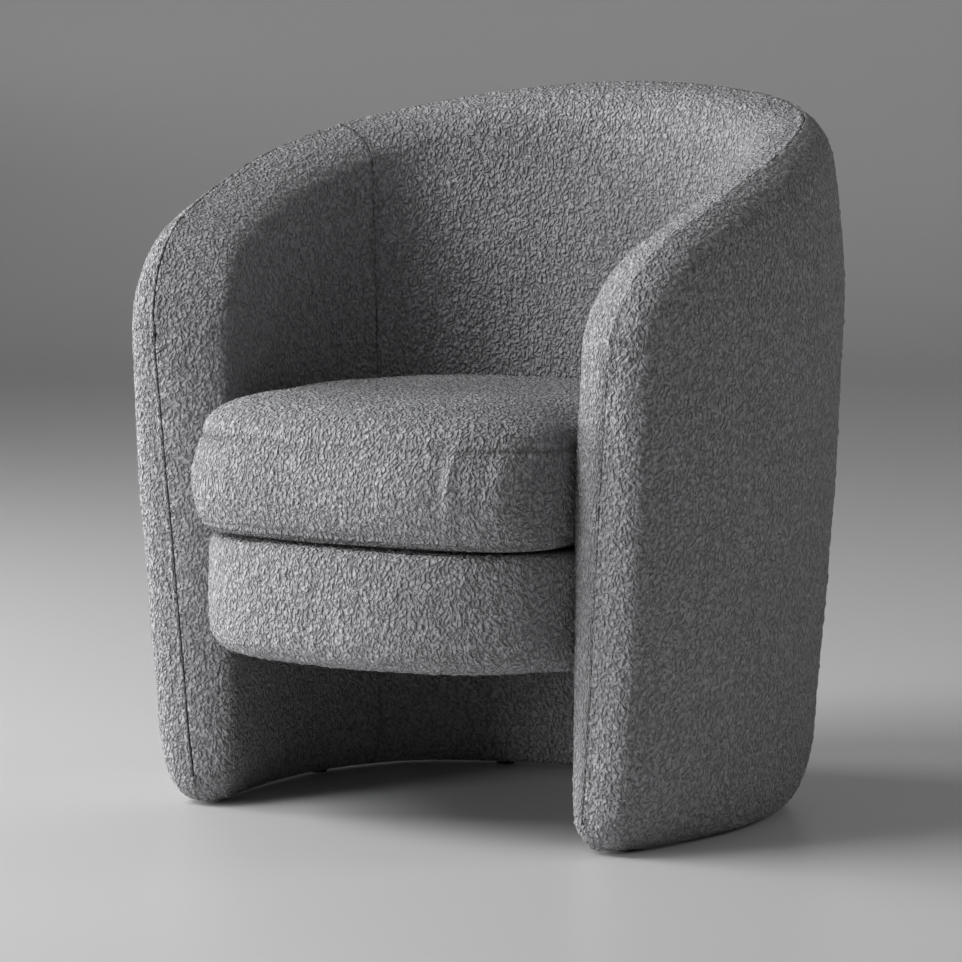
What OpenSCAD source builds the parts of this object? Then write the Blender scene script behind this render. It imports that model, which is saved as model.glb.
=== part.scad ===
// Tub chair: one curved upholstered wall on low glides, a sprung seat deck and a loose D-shaped cushion.
// Millimetres, +Z up. The origin is on the floor at the middle of the chair. The open front faces -Y.
// The wall is drawn along its middle line in plan, from the middle of the back (0) to each arm front.

/* [Overall] */
// Height of the back at its middle
chair_h = 740; // [700:5:780]
// Gap between the floor and the foot of the wall
glide_h = 6; // [4:1:12]

/* [Wall in plan] */
// Radius of the wall's middle line across the back
back_r = 415; // [390:5:440]
// Turn of the back to each side of its middle, in degrees
back_angle = 29.5; // [28:0.5:31]
// Radius of the corner between back and arm
corner_r = 155; // [145:5:170]
// Turn of that corner, in degrees
corner_angle = 38; // [36:0.5:40]
// Radius along the arm
arm_r = 365; // [345:5:385]
// Turn of the arm, in degrees
arm_angle = 26.5; // [25:0.5:28]
// Radius where the arm draws in at the front
tip_r = 600; // [560:10:640]
// Turn of that last stretch, in degrees
tip_angle = 17; // [16:0.5:18]
// Length from the middle of the back to the seam between inside back and inside arm
inside_seam = 331; // [320:1:345]

/* [Wall section] */
// Fullest reach of the outer face beyond the middle line
wall_out = 49; // [45:1:54]
// Reach of the inner face inside the middle line, at the seat
wall_in = 57; // [54:1:60]
// Height at which the outer face is fullest
fullest_z = 525; // [500:5:550]
// How far the outer face draws in at the floor
foot_tuck = 35; // [30:1:38]
// How far the outer face draws in at the crest
crest_tuck = 28; // [24:1:32]
// How far the inner face leans back at the crest
recline = 16; // [12:1:20]
// Height at which the inner face starts to lean
recline_z = 305; // [290:5:320]

/* [Wall edges] */
// Fall of the crest from the back to the arm front
arm_drop = 182; // [165:1:195]
// Radius on which the crest turns down into the arm front
front_corner_r = 77; // [70:1:84]
// Radius on which the arm front turns under at the foot
foot_corner_r = 26; // [22:1:30]
// Depth of the soft round along the crest
crest_soft = 38; // [34:1:42]
// Depth of the soft round down the arm front
front_soft = 20; // [18:1:24]
// Width of the roll under the outer foot
foot_out_w = 26; // [22:1:28]
// Height of that roll
foot_out_h = 80; // [70:1:90]
// Width of the roll under the inner foot
foot_in_w = 20; // [16:1:22]
// Height of that roll
foot_in_h = 60; // [50:1:70]

/* [Upholstery] */
// Thickness of the boucle cover with its backing
cover_t = 3; // [2.5:0.25:4]
// Thickness of the foam on the inside of the wall
inner_pad_t = 22; // [20:1:25]
// Thickness of the foam on the outside of the wall
outer_pad_t = 12; // [10:1:14]
// Depth of foam over the top rail and the front posts
crest_pad_t = 21; // [19:1:24]
// Width of the flat seam along the crest
welt_w = 5; // [4:0.5:7]
// Height of that seam
welt_h = 2.2; // [1.6:0.2:3]
// Width of cover turned under at the foot
hem_w = 8; // [6:1:9]

/* [Frame] */
// Thickness of the plywood base ring
ring_t = 18; // [15:1:21]
// Thickness of the plywood ribs
rib_t = 18; // [15:1:21]
// Height of the bent top rail
rail_h = 36; // [30:1:42]
// Thickness of the liner boards
liner_t = 2.5; // [2:0.25:3]
// Thickness of the seat rails
seat_rail_t = 20; // [18:1:22]
// Height of the seat rails
seat_rail_h = 60; // [56:1:62]

/* [Seat deck] */
// Height of the underside of the deck
deck_z = 174; // [168:1:182]
// Height of the top of the deck
deck_top_z = 291; // [286:1:296]
// How far the deck's nose stands out in front of the arm fronts
nose_out = 99.3; // [90:0.1:110]
// Width of the full curve that the deck nose is part of
deck_nose_w = 464; // [456:2:472]
// Depth of that curve
deck_nose_d = 300; // [290:2:310]
// Round along the lower edge of the deck
deck_low_r = 27; // [24:1:30]
// Round along the upper edge of the deck
deck_top_r = 9; // [7:1:12]
// Number of seat springs
spring_n = 4; // [3:1:5]
// Diameter of the spring wire
wire_d = 3.8; // [3.2:0.1:4.2]

/* [Cushion] */
// Height of the lower boxing seam above the deck
lip_h = 9; // [7:1:11]
// Height of the boxing between its two seams
boxing_h = 91; // [84:1:96]
// Rise of the top above the upper seam
crown_h = 46; // [38:1:50]
// Width of the full curve that the cushion nose is part of
cushion_nose_w = 450; // [442:2:458]
// Depth of that curve
cushion_nose_d = 204; // [196:2:212]
// How far the cushion seam stays behind the front of the deck
nose_back = 13; // [11:0.5:17]
// How far the boxing swells at the nose
nose_swell = 13; // [9:0.5:13]
// Clearance between cushion and wall
cushion_clear = 4; // [3:0.5:6]
// How far the boxing draws in at the back, round the zip
zip_draw = 6; // [5:0.5:7]
// Half of the zip's length as an angle round the back, in degrees
zip_angle = 24; // [20:1:26]

/* [Hidden] */

// Room left between neighbouring layers
fit = 0.3;
// How the outer face draws in: above 1 it keeps straighter near its fullest
tuck_power = 1.4;
// Place of the crest seam between the wall's middle and its outer face, high up and low down
seam_high_share = 0.45;
seam_low_share = 0.04;
seam_high_z = 550;
seam_low_z = 50;
// Where the round of the edges passes from the crest's to the arm front's
soft_high_share = 0.9;
soft_low_share = 0.55;
soft_back_share = 0.5;
soft_front_share = 0.9;
// Roundness of the seat's nose curves
deck_power = 2.95;
cushion_power = 3.4;

boucle = "#808084";
foam = "#e8dfb8";
board = "#b08a5a";
ply = "#d6b98c";
beech = "#c9a06c";
steel = "#b9bcc0";
nylon = "#26262a";
felt = "#3a3a3c";
fibre = "#f2f0ea";

function mix(a, b, t) = a + (b - a) * t;
function clamp01(t) = min(1, max(0, t));
function dir(t) = [sin(t), cos(t)];
// Drop of a quarter round of size 1, from its full width (0) to its end (1)
function round_drop(q) = 1 - sqrt(max(0, 1 - q * q));

// Middle line in plan: four arcs, each tangent to the last
arc_r = [back_r, corner_r, arm_r, tip_r];
arc_a = [back_angle, corner_angle, arm_angle, tip_angle];
turn = [
  0, back_angle, back_angle + corner_angle, back_angle + corner_angle + arm_angle,
  back_angle + corner_angle + arm_angle + tip_angle
];
arc_len = [for (i = [0:3]) arc_r[i] * arc_a[i] * PI / 180];
arc_s = [0, arc_len[0], arc_len[0] + arc_len[1], arc_len[0] + arc_len[1] + arc_len[2]];
wall_len = arc_s[3] + arc_len[3];
// Centres of the arcs as they lie from the middle of the back, and how deep the middle line is
corner_from_back = (back_r - corner_r) * dir(turn[1]) - [0, back_r];
arm_from_back = corner_from_back + (corner_r - arm_r) * dir(turn[2]);
tip_from_back = arm_from_back + (arm_r - tip_r) * dir(turn[3]);
wall_depth = -(tip_from_back + tip_r * dir(turn[4])).y;
// Depth from the fullest part of the back to the front of the seat deck
chair_d = wall_out + wall_depth + nose_out;
back_y = chair_d / 2 - wall_out;
back_c = [0, back_y - back_r];
arc_c = [back_c, [0, back_y] + corner_from_back, [0, back_y] + arm_from_back, [0, back_y] + tip_from_back];

function arc_at(a) = a < arc_s[1] ? 0 : a < arc_s[2] ? 1 : a < arc_s[3] ? 2 : 3;
function heading(a) = let (i = arc_at(a)) turn[i] + (a - arc_s[i]) / arc_r[i] * 180 / PI;
// Point at length s along the middle line, off outwards from it; negative s is the left side
function wall_xy(s, off) =
  let (a = abs(s), i = arc_at(a), p = arc_c[i] + (arc_r[i] + off) * dir(heading(a)))
  [s < 0 ? -p.x : p.x, p.y];

// Crest: a parabola that falls to the front, then a quarter round; deep is how far below the surface
corner_s = wall_len - front_corner_r;
function crest_line(a) = chair_h - arm_drop * pow(a / wall_len, 2);
function crest_z(a, deep) = let (over = max(0, a - corner_s))
  over > 0
    ? crest_line(a) - front_corner_r + sqrt(max(0, pow(front_corner_r - deep, 2) - over * over))
    : crest_line(a) - deep;
// Foot: level, then a quarter round up into the arm front, and how far the arm reaches at a height
foot_s = wall_len - foot_corner_r;
function foot_z(a, deep) =
  glide_h + foot_corner_r - sqrt(max(0, pow(foot_corner_r - deep, 2) - pow(max(0, a - foot_s), 2)));
function front_reach(z) = let (v = clamp01((glide_h + foot_corner_r - z) / foot_corner_r))
  foot_s + foot_corner_r * sqrt(1 - v * v);
// Distance of a place on the wall from the edge of the wall
function edge_gap(a, z) = let (u = a - corner_s, v = z - crest_line(a) + front_corner_r)
  u > 0 && v > 0 ? front_corner_r - norm([u, v]) : min(front_reach(z) - a, crest_line(a) - z);
function edge_soft(a, z) = mix(crest_soft, front_soft,
  clamp01((soft_high_share * chair_h - z) / ((soft_high_share - soft_low_share) * chair_h))
  * clamp01((a / wall_len - soft_back_share) / (soft_front_share - soft_back_share)));
// 0 on the edge of the wall, 1 where its faces are full
function fullness(a, z, deep) = let (q = clamp01(1 - (edge_gap(a, z) - deep) / (edge_soft(a, z) - deep)))
  sqrt(max(0, 1 - q * q));

// Faces of the wall as offsets from the middle line
function outer_face(z) = wall_out
  - foot_tuck * pow(clamp01((fullest_z - z) / fullest_z), tuck_power)
  - crest_tuck * pow(clamp01((z - fullest_z) / (chair_h - fullest_z)), 2);
function inner_face(z) = -wall_in + recline * clamp01((z - recline_z) / (chair_h - recline_z));
function foot_roll(z, w, h, deep) =
  (w - deep) * round_drop(clamp01(1 - (z - glide_h - deep) / (h - deep)));
function outer_skin(z, deep) = outer_face(z) - deep - foot_roll(z, foot_out_w, foot_out_h, deep);
function inner_skin(z, deep) = inner_face(z) + deep + foot_roll(z, foot_in_w, foot_in_h, deep);
function seam_share(z) =
  mix(seam_low_share, seam_high_share, clamp01((z - seam_low_z) / (seam_high_z - seam_low_z)));
function seam_off(z) = let (o = outer_skin(z, 0), i = inner_skin(z, 0))
  (o + i) / 2 + seam_share(z) * (o - i) / 2;

// Columns of the wall's grids: a few to each arc, closer round the arm front
front_turns = [0, 15, 30, 45, 60, 72, 82, 90];
pad_turns = [0, 30, 60, 84, 90];
arc_steps = [3, 4, 4];
main_cols = [
  for (i = [0:1]) for (k = [0:arc_steps[i] - 1]) arc_s[i] + arc_len[i] * k / arc_steps[i],
  inside_seam,
  for (k = [1:arc_steps[2]]) arc_s[2] + arc_len[2] * k / arc_steps[2],
  (arc_s[3] + corner_s) / 2
];
function cols_to(turns, deep) =
  concat(main_cols, [for (t = turns) corner_s + (front_corner_r - deep) * sin(t)]);
function both_sides(half) = concat([for (i = [len(half) - 1:-1:1]) -half[i]], half);
function wall_cols(deep) = both_sides(cols_to(front_turns, deep));

cover_rows_share = [0, 0.012, 0.045, 0.11, 0.27, 0.45, 0.64, 0.82, 0.93, 0.978, 1];

// One point of the wall's surface; side is 1 for the outer face and -1 for the inner one
function edge_off(z, side) = seam_off(z) + side * fit / 2;
function face_off(z, deep, side) = side > 0 ? outer_skin(z, deep) : inner_skin(z, deep);
function skin_pt(s, row_share, deep, side) =
  let (a = abs(s), z = mix(foot_z(a, deep), crest_z(a, deep), row_share))
  concat(wall_xy(s, mix(edge_off(z, side), face_off(z, deep, side), fullness(a, z, deep))), z);
function skin_grid(cols, rows, deep, side) = [for (r = rows) [for (s = cols) skin_pt(s, r, deep, side)]];
// The edge of cover turned under at the foot; it ends a little short of the round
function hem_s(s) = abs(s) < corner_s ? s
  : sign(s) * mix(corner_s, foot_s - hem_w / 2, (abs(s) - corner_s) / (wall_len - corner_s));
function hem_row(cols, deep, side) = [
  for (s = cols)
    let (
      s1 = hem_s(s),
      z = glide_h + deep,
      full = fullness(abs(s1), z, deep)
    )
    concat(wall_xy(s1, mix(edge_off(z, side), face_off(z, deep, side) - side * hem_w, full)), z)
];
function cover_grid(cols, deep, side) =
  concat([hem_row(cols, deep, side)], skin_grid(cols, cover_rows_share, deep, side));

// Two triangles on four points, split from the first to the third, or from the second to the fourth
function split(p, q, r, s, other) = other ? [[p, q, s], [q, r, s]] : [[p, q, r], [p, r, s]];

// Closed solid between two grids of points; out is the grid that lies further out from the seat. Where two
// such solids meet along an edge, one of them is turned, so that both split that edge alike
module grid_solid(out, in, turned = false) {
  rows = len(out);
  cols = len(out[0]);
  base = rows * cols;
  function f(r, c) = r * cols + c;
  function b(r, c) = base + r * cols + c;
  faces = concat(
    [for (r = [0:rows - 2]) for (c = [0:cols - 2]) each [
      [f(r, c), f(r, c + 1), f(r + 1, c + 1)],
      [f(r, c), f(r + 1, c + 1), f(r + 1, c)],
      [b(r, c), b(r + 1, c + 1), b(r, c + 1)],
      [b(r, c), b(r + 1, c), b(r + 1, c + 1)]
    ]],
    [for (c = [0:cols - 2]) each [
      [b(0, c), b(0, c + 1), f(0, c + 1)],
      [b(0, c), f(0, c + 1), f(0, c)]
    ]],
    [for (c = [0:cols - 2])
      each split(f(rows - 1, c), f(rows - 1, c + 1), b(rows - 1, c + 1), b(rows - 1, c), turned)],
    [for (r = [0:rows - 2]) each concat(
      split(f(r, 0), f(r + 1, 0), b(r + 1, 0), b(r, 0), turned),
      split(f(r + 1, cols - 1), f(r, cols - 1), b(r, cols - 1), b(r + 1, cols - 1), turned)
    )]
  );
  polyhedron(concat([for (r = out) each r], [for (r = in) each r]), faces);
}

// Middle of a ring of points, and the faces between rings that follow each other
function middle(ring) = [for (k = [0:2]) ring_sum(ring, k) / len(ring)];
function ring_sum(ring, k, i = 0) = i < len(ring) ? ring[i][k] + ring_sum(ring, k, i + 1) : 0;
// Spans from lining to lining_end are split along their other diagonal, like the piece that lies inside them
function ring_faces(spans, n, m, lining, lining_end) = [
  for (r = [0:spans - 1]) for (k = [0:n - 1])
    let (a = r * n, b = (r + 1) % m * n, j = (k + 1) % n)
    each r >= lining && r < lining_end
      ? [[a + k, b + k, a + j], [a + j, b + k, b + j]]
      : [[a + k, b + j, a + j], [a + k, b + k, b + j]]
];
function reverse(list) = [for (i = [len(list) - 1:-1:0]) list[i]];

// Closed solid through a stack of rings, with a flat end at its first ring and at its last; lining is the
// number of spans that belong to the inner face
module stack_solid(rings, lining = 0) {
  n = len(rings[0]);
  m = len(rings);
  faces = concat(
    ring_faces(m - 1, n, m, 0, lining),
    [for (k = [0:n - 1]) [m * n, k, (k + 1) % n]],
    [for (k = [0:n - 1]) [m * n + 1, (m - 1) * n + (k + 1) % n, (m - 1) * n + k]]
  );
  polyhedron(concat([for (r = rings) each r], [middle(rings[0]), middle(rings[m - 1])]), faces);
}

// Closed band through a loop of rings, the last joined to the first; its inner face starts at span lining
module loop_solid(rings, lining) {
  m = len(rings);
  polyhedron([for (r = rings) each r], ring_faces(m, len(rings[0]), m, lining, m - 1));
}

module outside_cover() {
  color(boucle)
    grid_solid(cover_grid(wall_cols(0), 0, 1), cover_grid(wall_cols(cover_t), cover_t, 1));
}

// The column where the inside back is sewn to the inside arm, counted from the middle of the back
panel_col = arc_steps[0] + arc_steps[1];
mid_col = len(main_cols) + len(front_turns) - 1;
// Columns from first to last, the ends moved in by half a gap where another panel follows
function panel_cols(deep, first, last) = let (cols = wall_cols(deep)) [
  for (i = [first:last])
    cols[i] + (i == first && i > 0 ? fit / 2 : i == last && i < 2 * mid_col ? -fit / 2 : 0)
];

// A strip of the inside cover between two columns of the grid
module inside_panel(first, last) {
  color(boucle)
    grid_solid(cover_grid(panel_cols(cover_t, first, last), cover_t, -1),
      cover_grid(panel_cols(0, first, last), 0, -1));
}

module inside_back_cover() {
  inside_panel(mid_col - panel_col, mid_col + panel_col);
}

module inside_arm_cover_right() {
  inside_panel(mid_col + panel_col, 2 * mid_col);
}

module inside_arm_cover_left() {
  inside_panel(0, mid_col - panel_col);
}

// The flat seam: a low bead on the edge of the wall, up one arm front, along the crest and down the other
bead_turns = [0, 300, 240, 180, 120, 60];
function bead_ring(s, row_share) = [
  for (t = bead_turns)
    let (
      deep = -fit - welt_h / 2 * (1 + cos(t)),
      over = max(0, abs(s) - corner_s),
      a = abs(s) + over * -deep / front_corner_r,
      z = mix(foot_z(a, 0), crest_z(a, deep), row_share)
    )
    concat(wall_xy(s < 0 ? -a : a, seam_off(z) + welt_w / 2 * sin(t)), z)
];

module crest_seam() {
  cols = wall_cols(0);
  up_share = [for (i = [1:len(cover_rows_share) - 2]) cover_rows_share[i]];
  rings = concat(
    [for (r = up_share) bead_ring(cols[0], r)],
    [for (s = cols) bead_ring(s, 1)],
    [for (r = reverse(up_share)) bead_ring(cols[len(cols) - 1], r)]
  );
  color(boucle) stack_solid(rings);
}

// Planes of the frame inside the wall: straight between the base ring, the seat, the shoulder and the crest
frame_deep = cover_t + fit + crest_pad_t;
frame_z = glide_h + cover_t + fit + ring_t + fit;
shoulder_z = 480;
frame_breaks = [frame_z, recline_z, shoulder_z, chair_h];
function frame_out(z) = lookup(z, [for (b = frame_breaks) [b, outer_face(b) - cover_t - fit - outer_pad_t]]);
function frame_in(z) = lookup(z, [for (b = frame_breaks) [b, inner_face(b) + cover_t + fit + inner_pad_t]]);
function frame_rows(z0, z1) = [z0, recline_z, shoulder_z, z1];

// Padding: its front follows the cover, its back lies on the liner
pad_deep = cover_t + 2 * fit;
pad_rows_share = [0, 0.045, 0.11, 0.27, 0.64, 0.93, 0.978, 1];
outer_rows_share = [0, 0.045, 0.11, 0.27, 0.64, 0.93, 1];
back_rows = [
  frame_z, mix(frame_z, recline_z, 1 / 3), mix(frame_z, recline_z, 2 / 3), recline_z,
  (recline_z + shoulder_z) / 2, shoulder_z
];
pad_cols = both_sides(cols_to(pad_turns, pad_deep));
// The frame's turns differ from the padding's, so that no two columns of the padding coincide
frame_turns = [0, 35, 62, 82, 90];
function frame_cols(deep) = both_sides(cols_to(frame_turns, deep));
pad_back_cols = frame_cols(frame_deep);
// The inside padding's last column and row are rolled over to the outer plane, a hair beyond the ones before
roll_step = 0.1;
// The two paddings meet at the crest and at the arm front with this gap to each side
pad_gap = 0.4;
function back_pt(s, z, off) = concat(wall_xy(s, off), z);

module outside_padding() {
  back = [for (z = concat(back_rows, [0])) [
    for (s = pad_back_cols)
      let (z1 = z > 0 ? z : crest_z(abs(s), frame_deep))
      back_pt(s, z1, frame_out(z1) + pad_gap)
  ]];
  color(foam) grid_solid(skin_grid(pad_cols, outer_rows_share, pad_deep, 1), back);
}

module inside_padding() {
  last = len(pad_back_cols) - 1;
  back = [for (z = concat(back_rows, [0, -1])) [
    for (c = [0:last])
      let (
        s = pad_back_cols[c],
        z1 = z > 0 ? z : crest_z(abs(s), frame_deep) - (z < 0 ? 0 : roll_step),
        rolled = z < 0 || c == 0 || c == last
      )
      back_pt(s, z1, rolled ? frame_out(z1) - pad_gap : frame_in(z1))
  ]];
  color(foam) grid_solid(back, skin_grid(pad_cols, pad_rows_share, pad_deep, -1), true);
}

// Liner boards, nailed to the edges of the ribs
inner_deep = frame_deep + 4 * fit;
liner_cols = frame_cols(inner_deep);
module liner(side) {
  function plane(deep) = [
    for (k = [0:3]) [
      for (s = liner_cols)
        let (z = frame_rows(frame_z + fit, crest_z(abs(s), inner_deep))[k])
        back_pt(s, z, side > 0 ? frame_out(z) - deep : frame_in(z) + deep)
    ]
  ];
  color(board)
    grid_solid(plane(side > 0 ? fit : fit + liner_t), plane(side > 0 ? fit + liner_t : fit));
}

module outside_liner() {
  liner(1);
}

module inside_liner() {
  liner(-1);
}

// Band in plan between two offsets of the middle line
function band_plan(cols, off_a, off_b) =
  concat([for (s = cols) wall_xy(s, off_a)], [for (s = reverse(cols)) wall_xy(s, off_b)]);

module base_ring() {
  z0 = glide_h + cover_t + fit;
  end_s = foot_s - 2 * hem_w;
  cols = both_sides(concat([for (s = cols_to(frame_turns, frame_deep)) if (s < end_s - fit) s], [end_s]));
  color(ply)
    translate([0, 0, z0])
      linear_extrude(ring_t)
        polygon(band_plan(cols, frame_in(frame_z) + fit, outer_skin(z0, cover_t + fit) - fit));
}

// Room between the liners for ribs, posts and rail
function rib_out(z) = frame_out(z) - liner_t - 2 * fit;
function rib_in(z) = frame_in(z) + liner_t + 2 * fit;

// A board cut to the wall's section, t thick, standing across the wall at length s up to height z_top;
// its outer edge is set back by loss, because a flat board meets a curved liner at its corners
module section_board(s, t, z_top, loss) {
  rows = frame_rows(frame_z, z_top);
  i = arc_at(abs(s));
  mirror([s < 0 ? 1 : 0, 0, 0])
    translate([arc_c[i].x, arc_c[i].y, 0])
      rotate([0, 0, 90 - heading(abs(s))])
        rotate([90, 0, 0])
          linear_extrude(t, center = true)
            polygon(concat(
              [for (z = rows) [arc_r[i] + rib_out(z) - loss, z]],
              [for (z = reverse(rows)) [arc_r[i] + rib_in(z), z]]
            ));
}

// Ribs stand at these columns to each side of the middle
rib_cols = [-11, -8, -5, -2, 0, 2, 5, 8, 11];
function rib_s(c) = c < 0 ? -main_cols[-c] : main_cols[c];
rib_loss = rib_t / 2 * tan(back_angle / arc_steps[0] / 2);

module wall_ribs() {
  color(ply)
    for (c = rib_cols)
      section_board(rib_s(c), rib_t,
        crest_z(abs(rib_s(c)) + rib_t / 2, inner_deep) - rail_h - 2 * fit, rib_loss);
}

// The end of the frame at the arm front
post_end = wall_len - frame_deep - 3 * fit;
rail_end = corner_s;
post_w = post_end - rail_end - 2 * fit;
post_s = post_end - post_w / 2;
// A flat board in a curved wall has to be narrower by this share, to keep its inner corners inside
post_share = (tip_r - wall_in) / tip_r;

// Outline of the post seen from its side: its top follows the round of the arm, in the padding's steps
post_deep = frame_deep + 3 * fit;
post_side = concat(
  [[-post_w, 0], [post_w, 0]],
  [for (t = reverse(frame_turns)) let (a = corner_s + (front_corner_r - post_deep) * sin(t))
    [(a - post_s) * (a < post_s ? 1 / post_share : post_share), crest_z(a, post_deep)]],
  [[-post_w, crest_z(corner_s, post_deep)]]
);

module front_posts() {
  reach = 2 * (wall_out + wall_in);
  color(ply)
    for (side = [1, -1])
      intersection() {
        section_board(side * post_s, post_w * post_share, crest_z(corner_s, post_deep),
          post_w * post_w / 8 / tip_r);
        mirror([side < 0 ? 1 : 0, 0, 0])
          translate([arc_c[3].x, arc_c[3].y, 0])
            rotate([0, 0, -heading(post_s)])
              translate([0, tip_r + reach / 2, 0])
                rotate([90, 0, 0])
                  linear_extrude(reach)
                    polygon(post_side);
      }
}

module top_rail() {
  cols = both_sides(concat(main_cols, [rail_end]));
  function edge(side) = [
    for (deep = [inner_deep + rail_h, inner_deep]) [
      for (s = cols) let (z = crest_line(abs(s)) - deep) back_pt(s, z, side > 0 ? rib_out(z) : rib_in(z))
    ]
  ];
  color(beech) grid_solid(edge(1), edge(-1));
}

// Glides stand under the base ring, between the two hems
glide_r = 10;
glide_top_r = 8;
nail_r = 1.6;
nail_len = 16;
nail_head_r = 4;
nail_head_t = 1.5;
nail_head_z = 1.4;
glide_places_share = [-0.92, -0.6, -0.22, 0.22, 0.6, 0.92];
glide_off = (outer_skin(glide_h, 0) + inner_skin(glide_h, 0)) / 2;

module at_glides() {
  for (p = glide_places_share)
    translate(wall_xy(p * wall_len, glide_off))
      children();
}

module glides() {
  color(nylon)
    at_glides()
      difference() {
        union() {
          cylinder(h = glide_h - fit, r = glide_top_r, $fn = 48);
          cylinder(h = glide_h / 2, r = glide_r, $fn = 48);
        }
        translate([0, 0, -glide_h])
          cylinder(h = 3 * glide_h, r = nail_r + fit / 2, $fn = 32);
        translate([0, 0, -glide_h])
          cylinder(h = glide_h + nail_head_z + nail_head_t, r = nail_head_r + fit, $fn = 32);
      }
}

module glide_nails() {
  color(steel)
    at_glides() {
      translate([0, 0, nail_head_z])
        cylinder(h = nail_head_t, r = nail_head_r, $fn = 32);
      translate([0, 0, nail_head_z])
        cylinder(h = nail_len, r = nail_r, $fn = 32);
    }
}

// Seat plan: along the wall's inner face to the arm front, then round the nose
neck_s = wall_len - front_soft - 2 * fit;
seat_wall_cols = [for (s = cols_to(front_turns, 0)) if (s <= neck_s) s];
nose_steps = 7;
nose_lead = 9;
nose_neck_y = wall_xy(wall_len, 0).y - nose_lead;
swell_steps = 3;
// Nose curve: a superellipse of half width w and depth d whose widest line is at y; swell lets it bulge,
// and deep moves each point inwards, square to the curve
function nose_pts(w, d, y, power, swell, deep) =
  let (t0 = asin(pow(clamp01((y - nose_neck_y) / d), power / 2)))
  [for (k = [0:nose_steps])
    let (
      t = mix(t0, 90, k / nose_steps),
      g = swell * sin(90 * clamp01(k / swell_steps)),
      c = max(0, cos(t)),
      n = [pow(c, 2 - 2 / power) / (w + g), -pow(sin(t), 2 - 2 / power) / (d + g)]
    )
    [(w + g) * pow(c, 2 / power), y - (d + g) * pow(sin(t), 2 / power)] - deep * n / norm(n)];
function wall_part(off) = [for (s = seat_wall_cols) wall_xy(s, off)];
function full_ring(half, z) = concat(
  [for (p = half) [-p.x, p.y, z]],
  [for (i = [len(half) - 2:-1:1]) [half[i].x, half[i].y, z]]
);
function plan_of(half) = [for (p = full_ring(half, 0)) [p.x, p.y]];

// Deck outline at depth deep inside its cover
deck_nose_y = -chair_d / 2 + deck_nose_d;
function deck_nose(deep) = nose_pts(deck_nose_w / 2, deck_nose_d, deck_nose_y, deck_power, 0, deep);
function deck_half(side_deep, deep) = concat(wall_part(-wall_in - fit - side_deep), deck_nose(deep));
function deck_ring(side_deep, deep, z) = full_ring(deck_half(side_deep, deep), z);
// The deck's skin from its turned-under edge, over both rounded edges, to its top
cover_turns = [0, 45, 90];
function deck_rings(deep) = concat(
  [deck_ring(deep + 2 * hem_w, deck_low_r + 2 * hem_w, deck_z + deep)],
  [for (t = cover_turns) let (r = deck_low_r - deep)
    deck_ring(deep, deck_low_r - r * sin(t), deck_z + deck_low_r - r * cos(t))],
  [for (t = cover_turns) let (r = deck_top_r - deep, d = deck_top_r - r * cos(t))
    deck_ring(d, d, deck_top_z - deck_top_r + r * sin(t))]
);

module deck_cover() {
  color(boucle)
    stack_solid(concat(reverse(deck_rings(cover_t)), deck_rings(0)));
}

// Room under the deck foam: open to the walls, and behind the foam at the nose
deck_foam_t = 28;
deck_foam_z = deck_top_z - cover_t - fit - deck_foam_t;
nose_foam_t = 16;
module deck_foam() {
  deep = cover_t + fit;
  color(foam)
    difference() {
      stack_solid([
        deck_ring(deep, deep, deck_z + deck_low_r),
        deck_ring(deep, deep, deck_top_z - deck_top_r),
        deck_ring(deck_top_r + fit, deck_top_r + fit, deck_top_z - deep)
      ]);
      translate([0, 0, deck_z])
        linear_extrude(deck_foam_z - deck_z)
          polygon(plan_of(concat(wall_part(-wall_in - cover_t), deck_nose(deep + nose_foam_t))));
    }
}

// Seat frame: rails on the outline of the deck, inside its cover and the foam at its nose
rail_lift = 9.5;
rail_z = deck_z + rail_lift;
rail_top = rail_z + seat_rail_h;
rail_off = -wall_in - cover_t - 3 * fit;
rail_deep = cover_t + nose_foam_t + 3 * fit;
rail_front_y = wall_xy(neck_s, 0).y;
rail_back_y = back_y - corner_r - wall_in;
function rail_half(deep) = concat(wall_part(rail_off - deep), deck_nose(rail_deep + deep));

module seat_frame_between(y0, y1) {
  translate([0, 0, rail_z])
    linear_extrude(seat_rail_h)
      intersection() {
        difference() {
          polygon(plan_of(rail_half(0)));
          polygon(plan_of(rail_half(seat_rail_t)));
        }
        translate([-chair_d, y0])
          square([2 * chair_d, y1 - y0]);
      }
}

module front_seat_rail() {
  color(beech) seat_frame_between(-chair_d, rail_front_y - fit / 2);
}

module side_seat_rails() {
  color(beech)
    difference() {
      seat_frame_between(rail_front_y + fit / 2, rail_back_y - fit / 2);
      screw_holes();
    }
}

module back_seat_rail() {
  color(beech)
    difference() {
      seat_frame_between(rail_back_y + fit / 2, chair_d);
      screw_holes();
    }
}

// Blocks glued into the corners of the seat frame
block_w = 58;
block_t = 28;
block_back = wall_xy((arc_s[1] + arc_s[2]) / 2, rail_off - seat_rail_t);
block_front = [wall_xy(neck_s, rail_off - seat_rail_t).x, rail_front_y - block_w / 4];
module corner_blocks() {
  color(beech)
    translate([0, 0, rail_z + (seat_rail_h - block_t) / 2])
      linear_extrude(block_t)
        intersection() {
          polygon(plan_of(rail_half(seat_rail_t + fit)));
          for (side = [1, -1])
            for (p = [block_back, block_front])
              translate([side * p.x, p.y])
                rotate(45)
                  square(block_w, center = true);
        }
}

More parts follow.
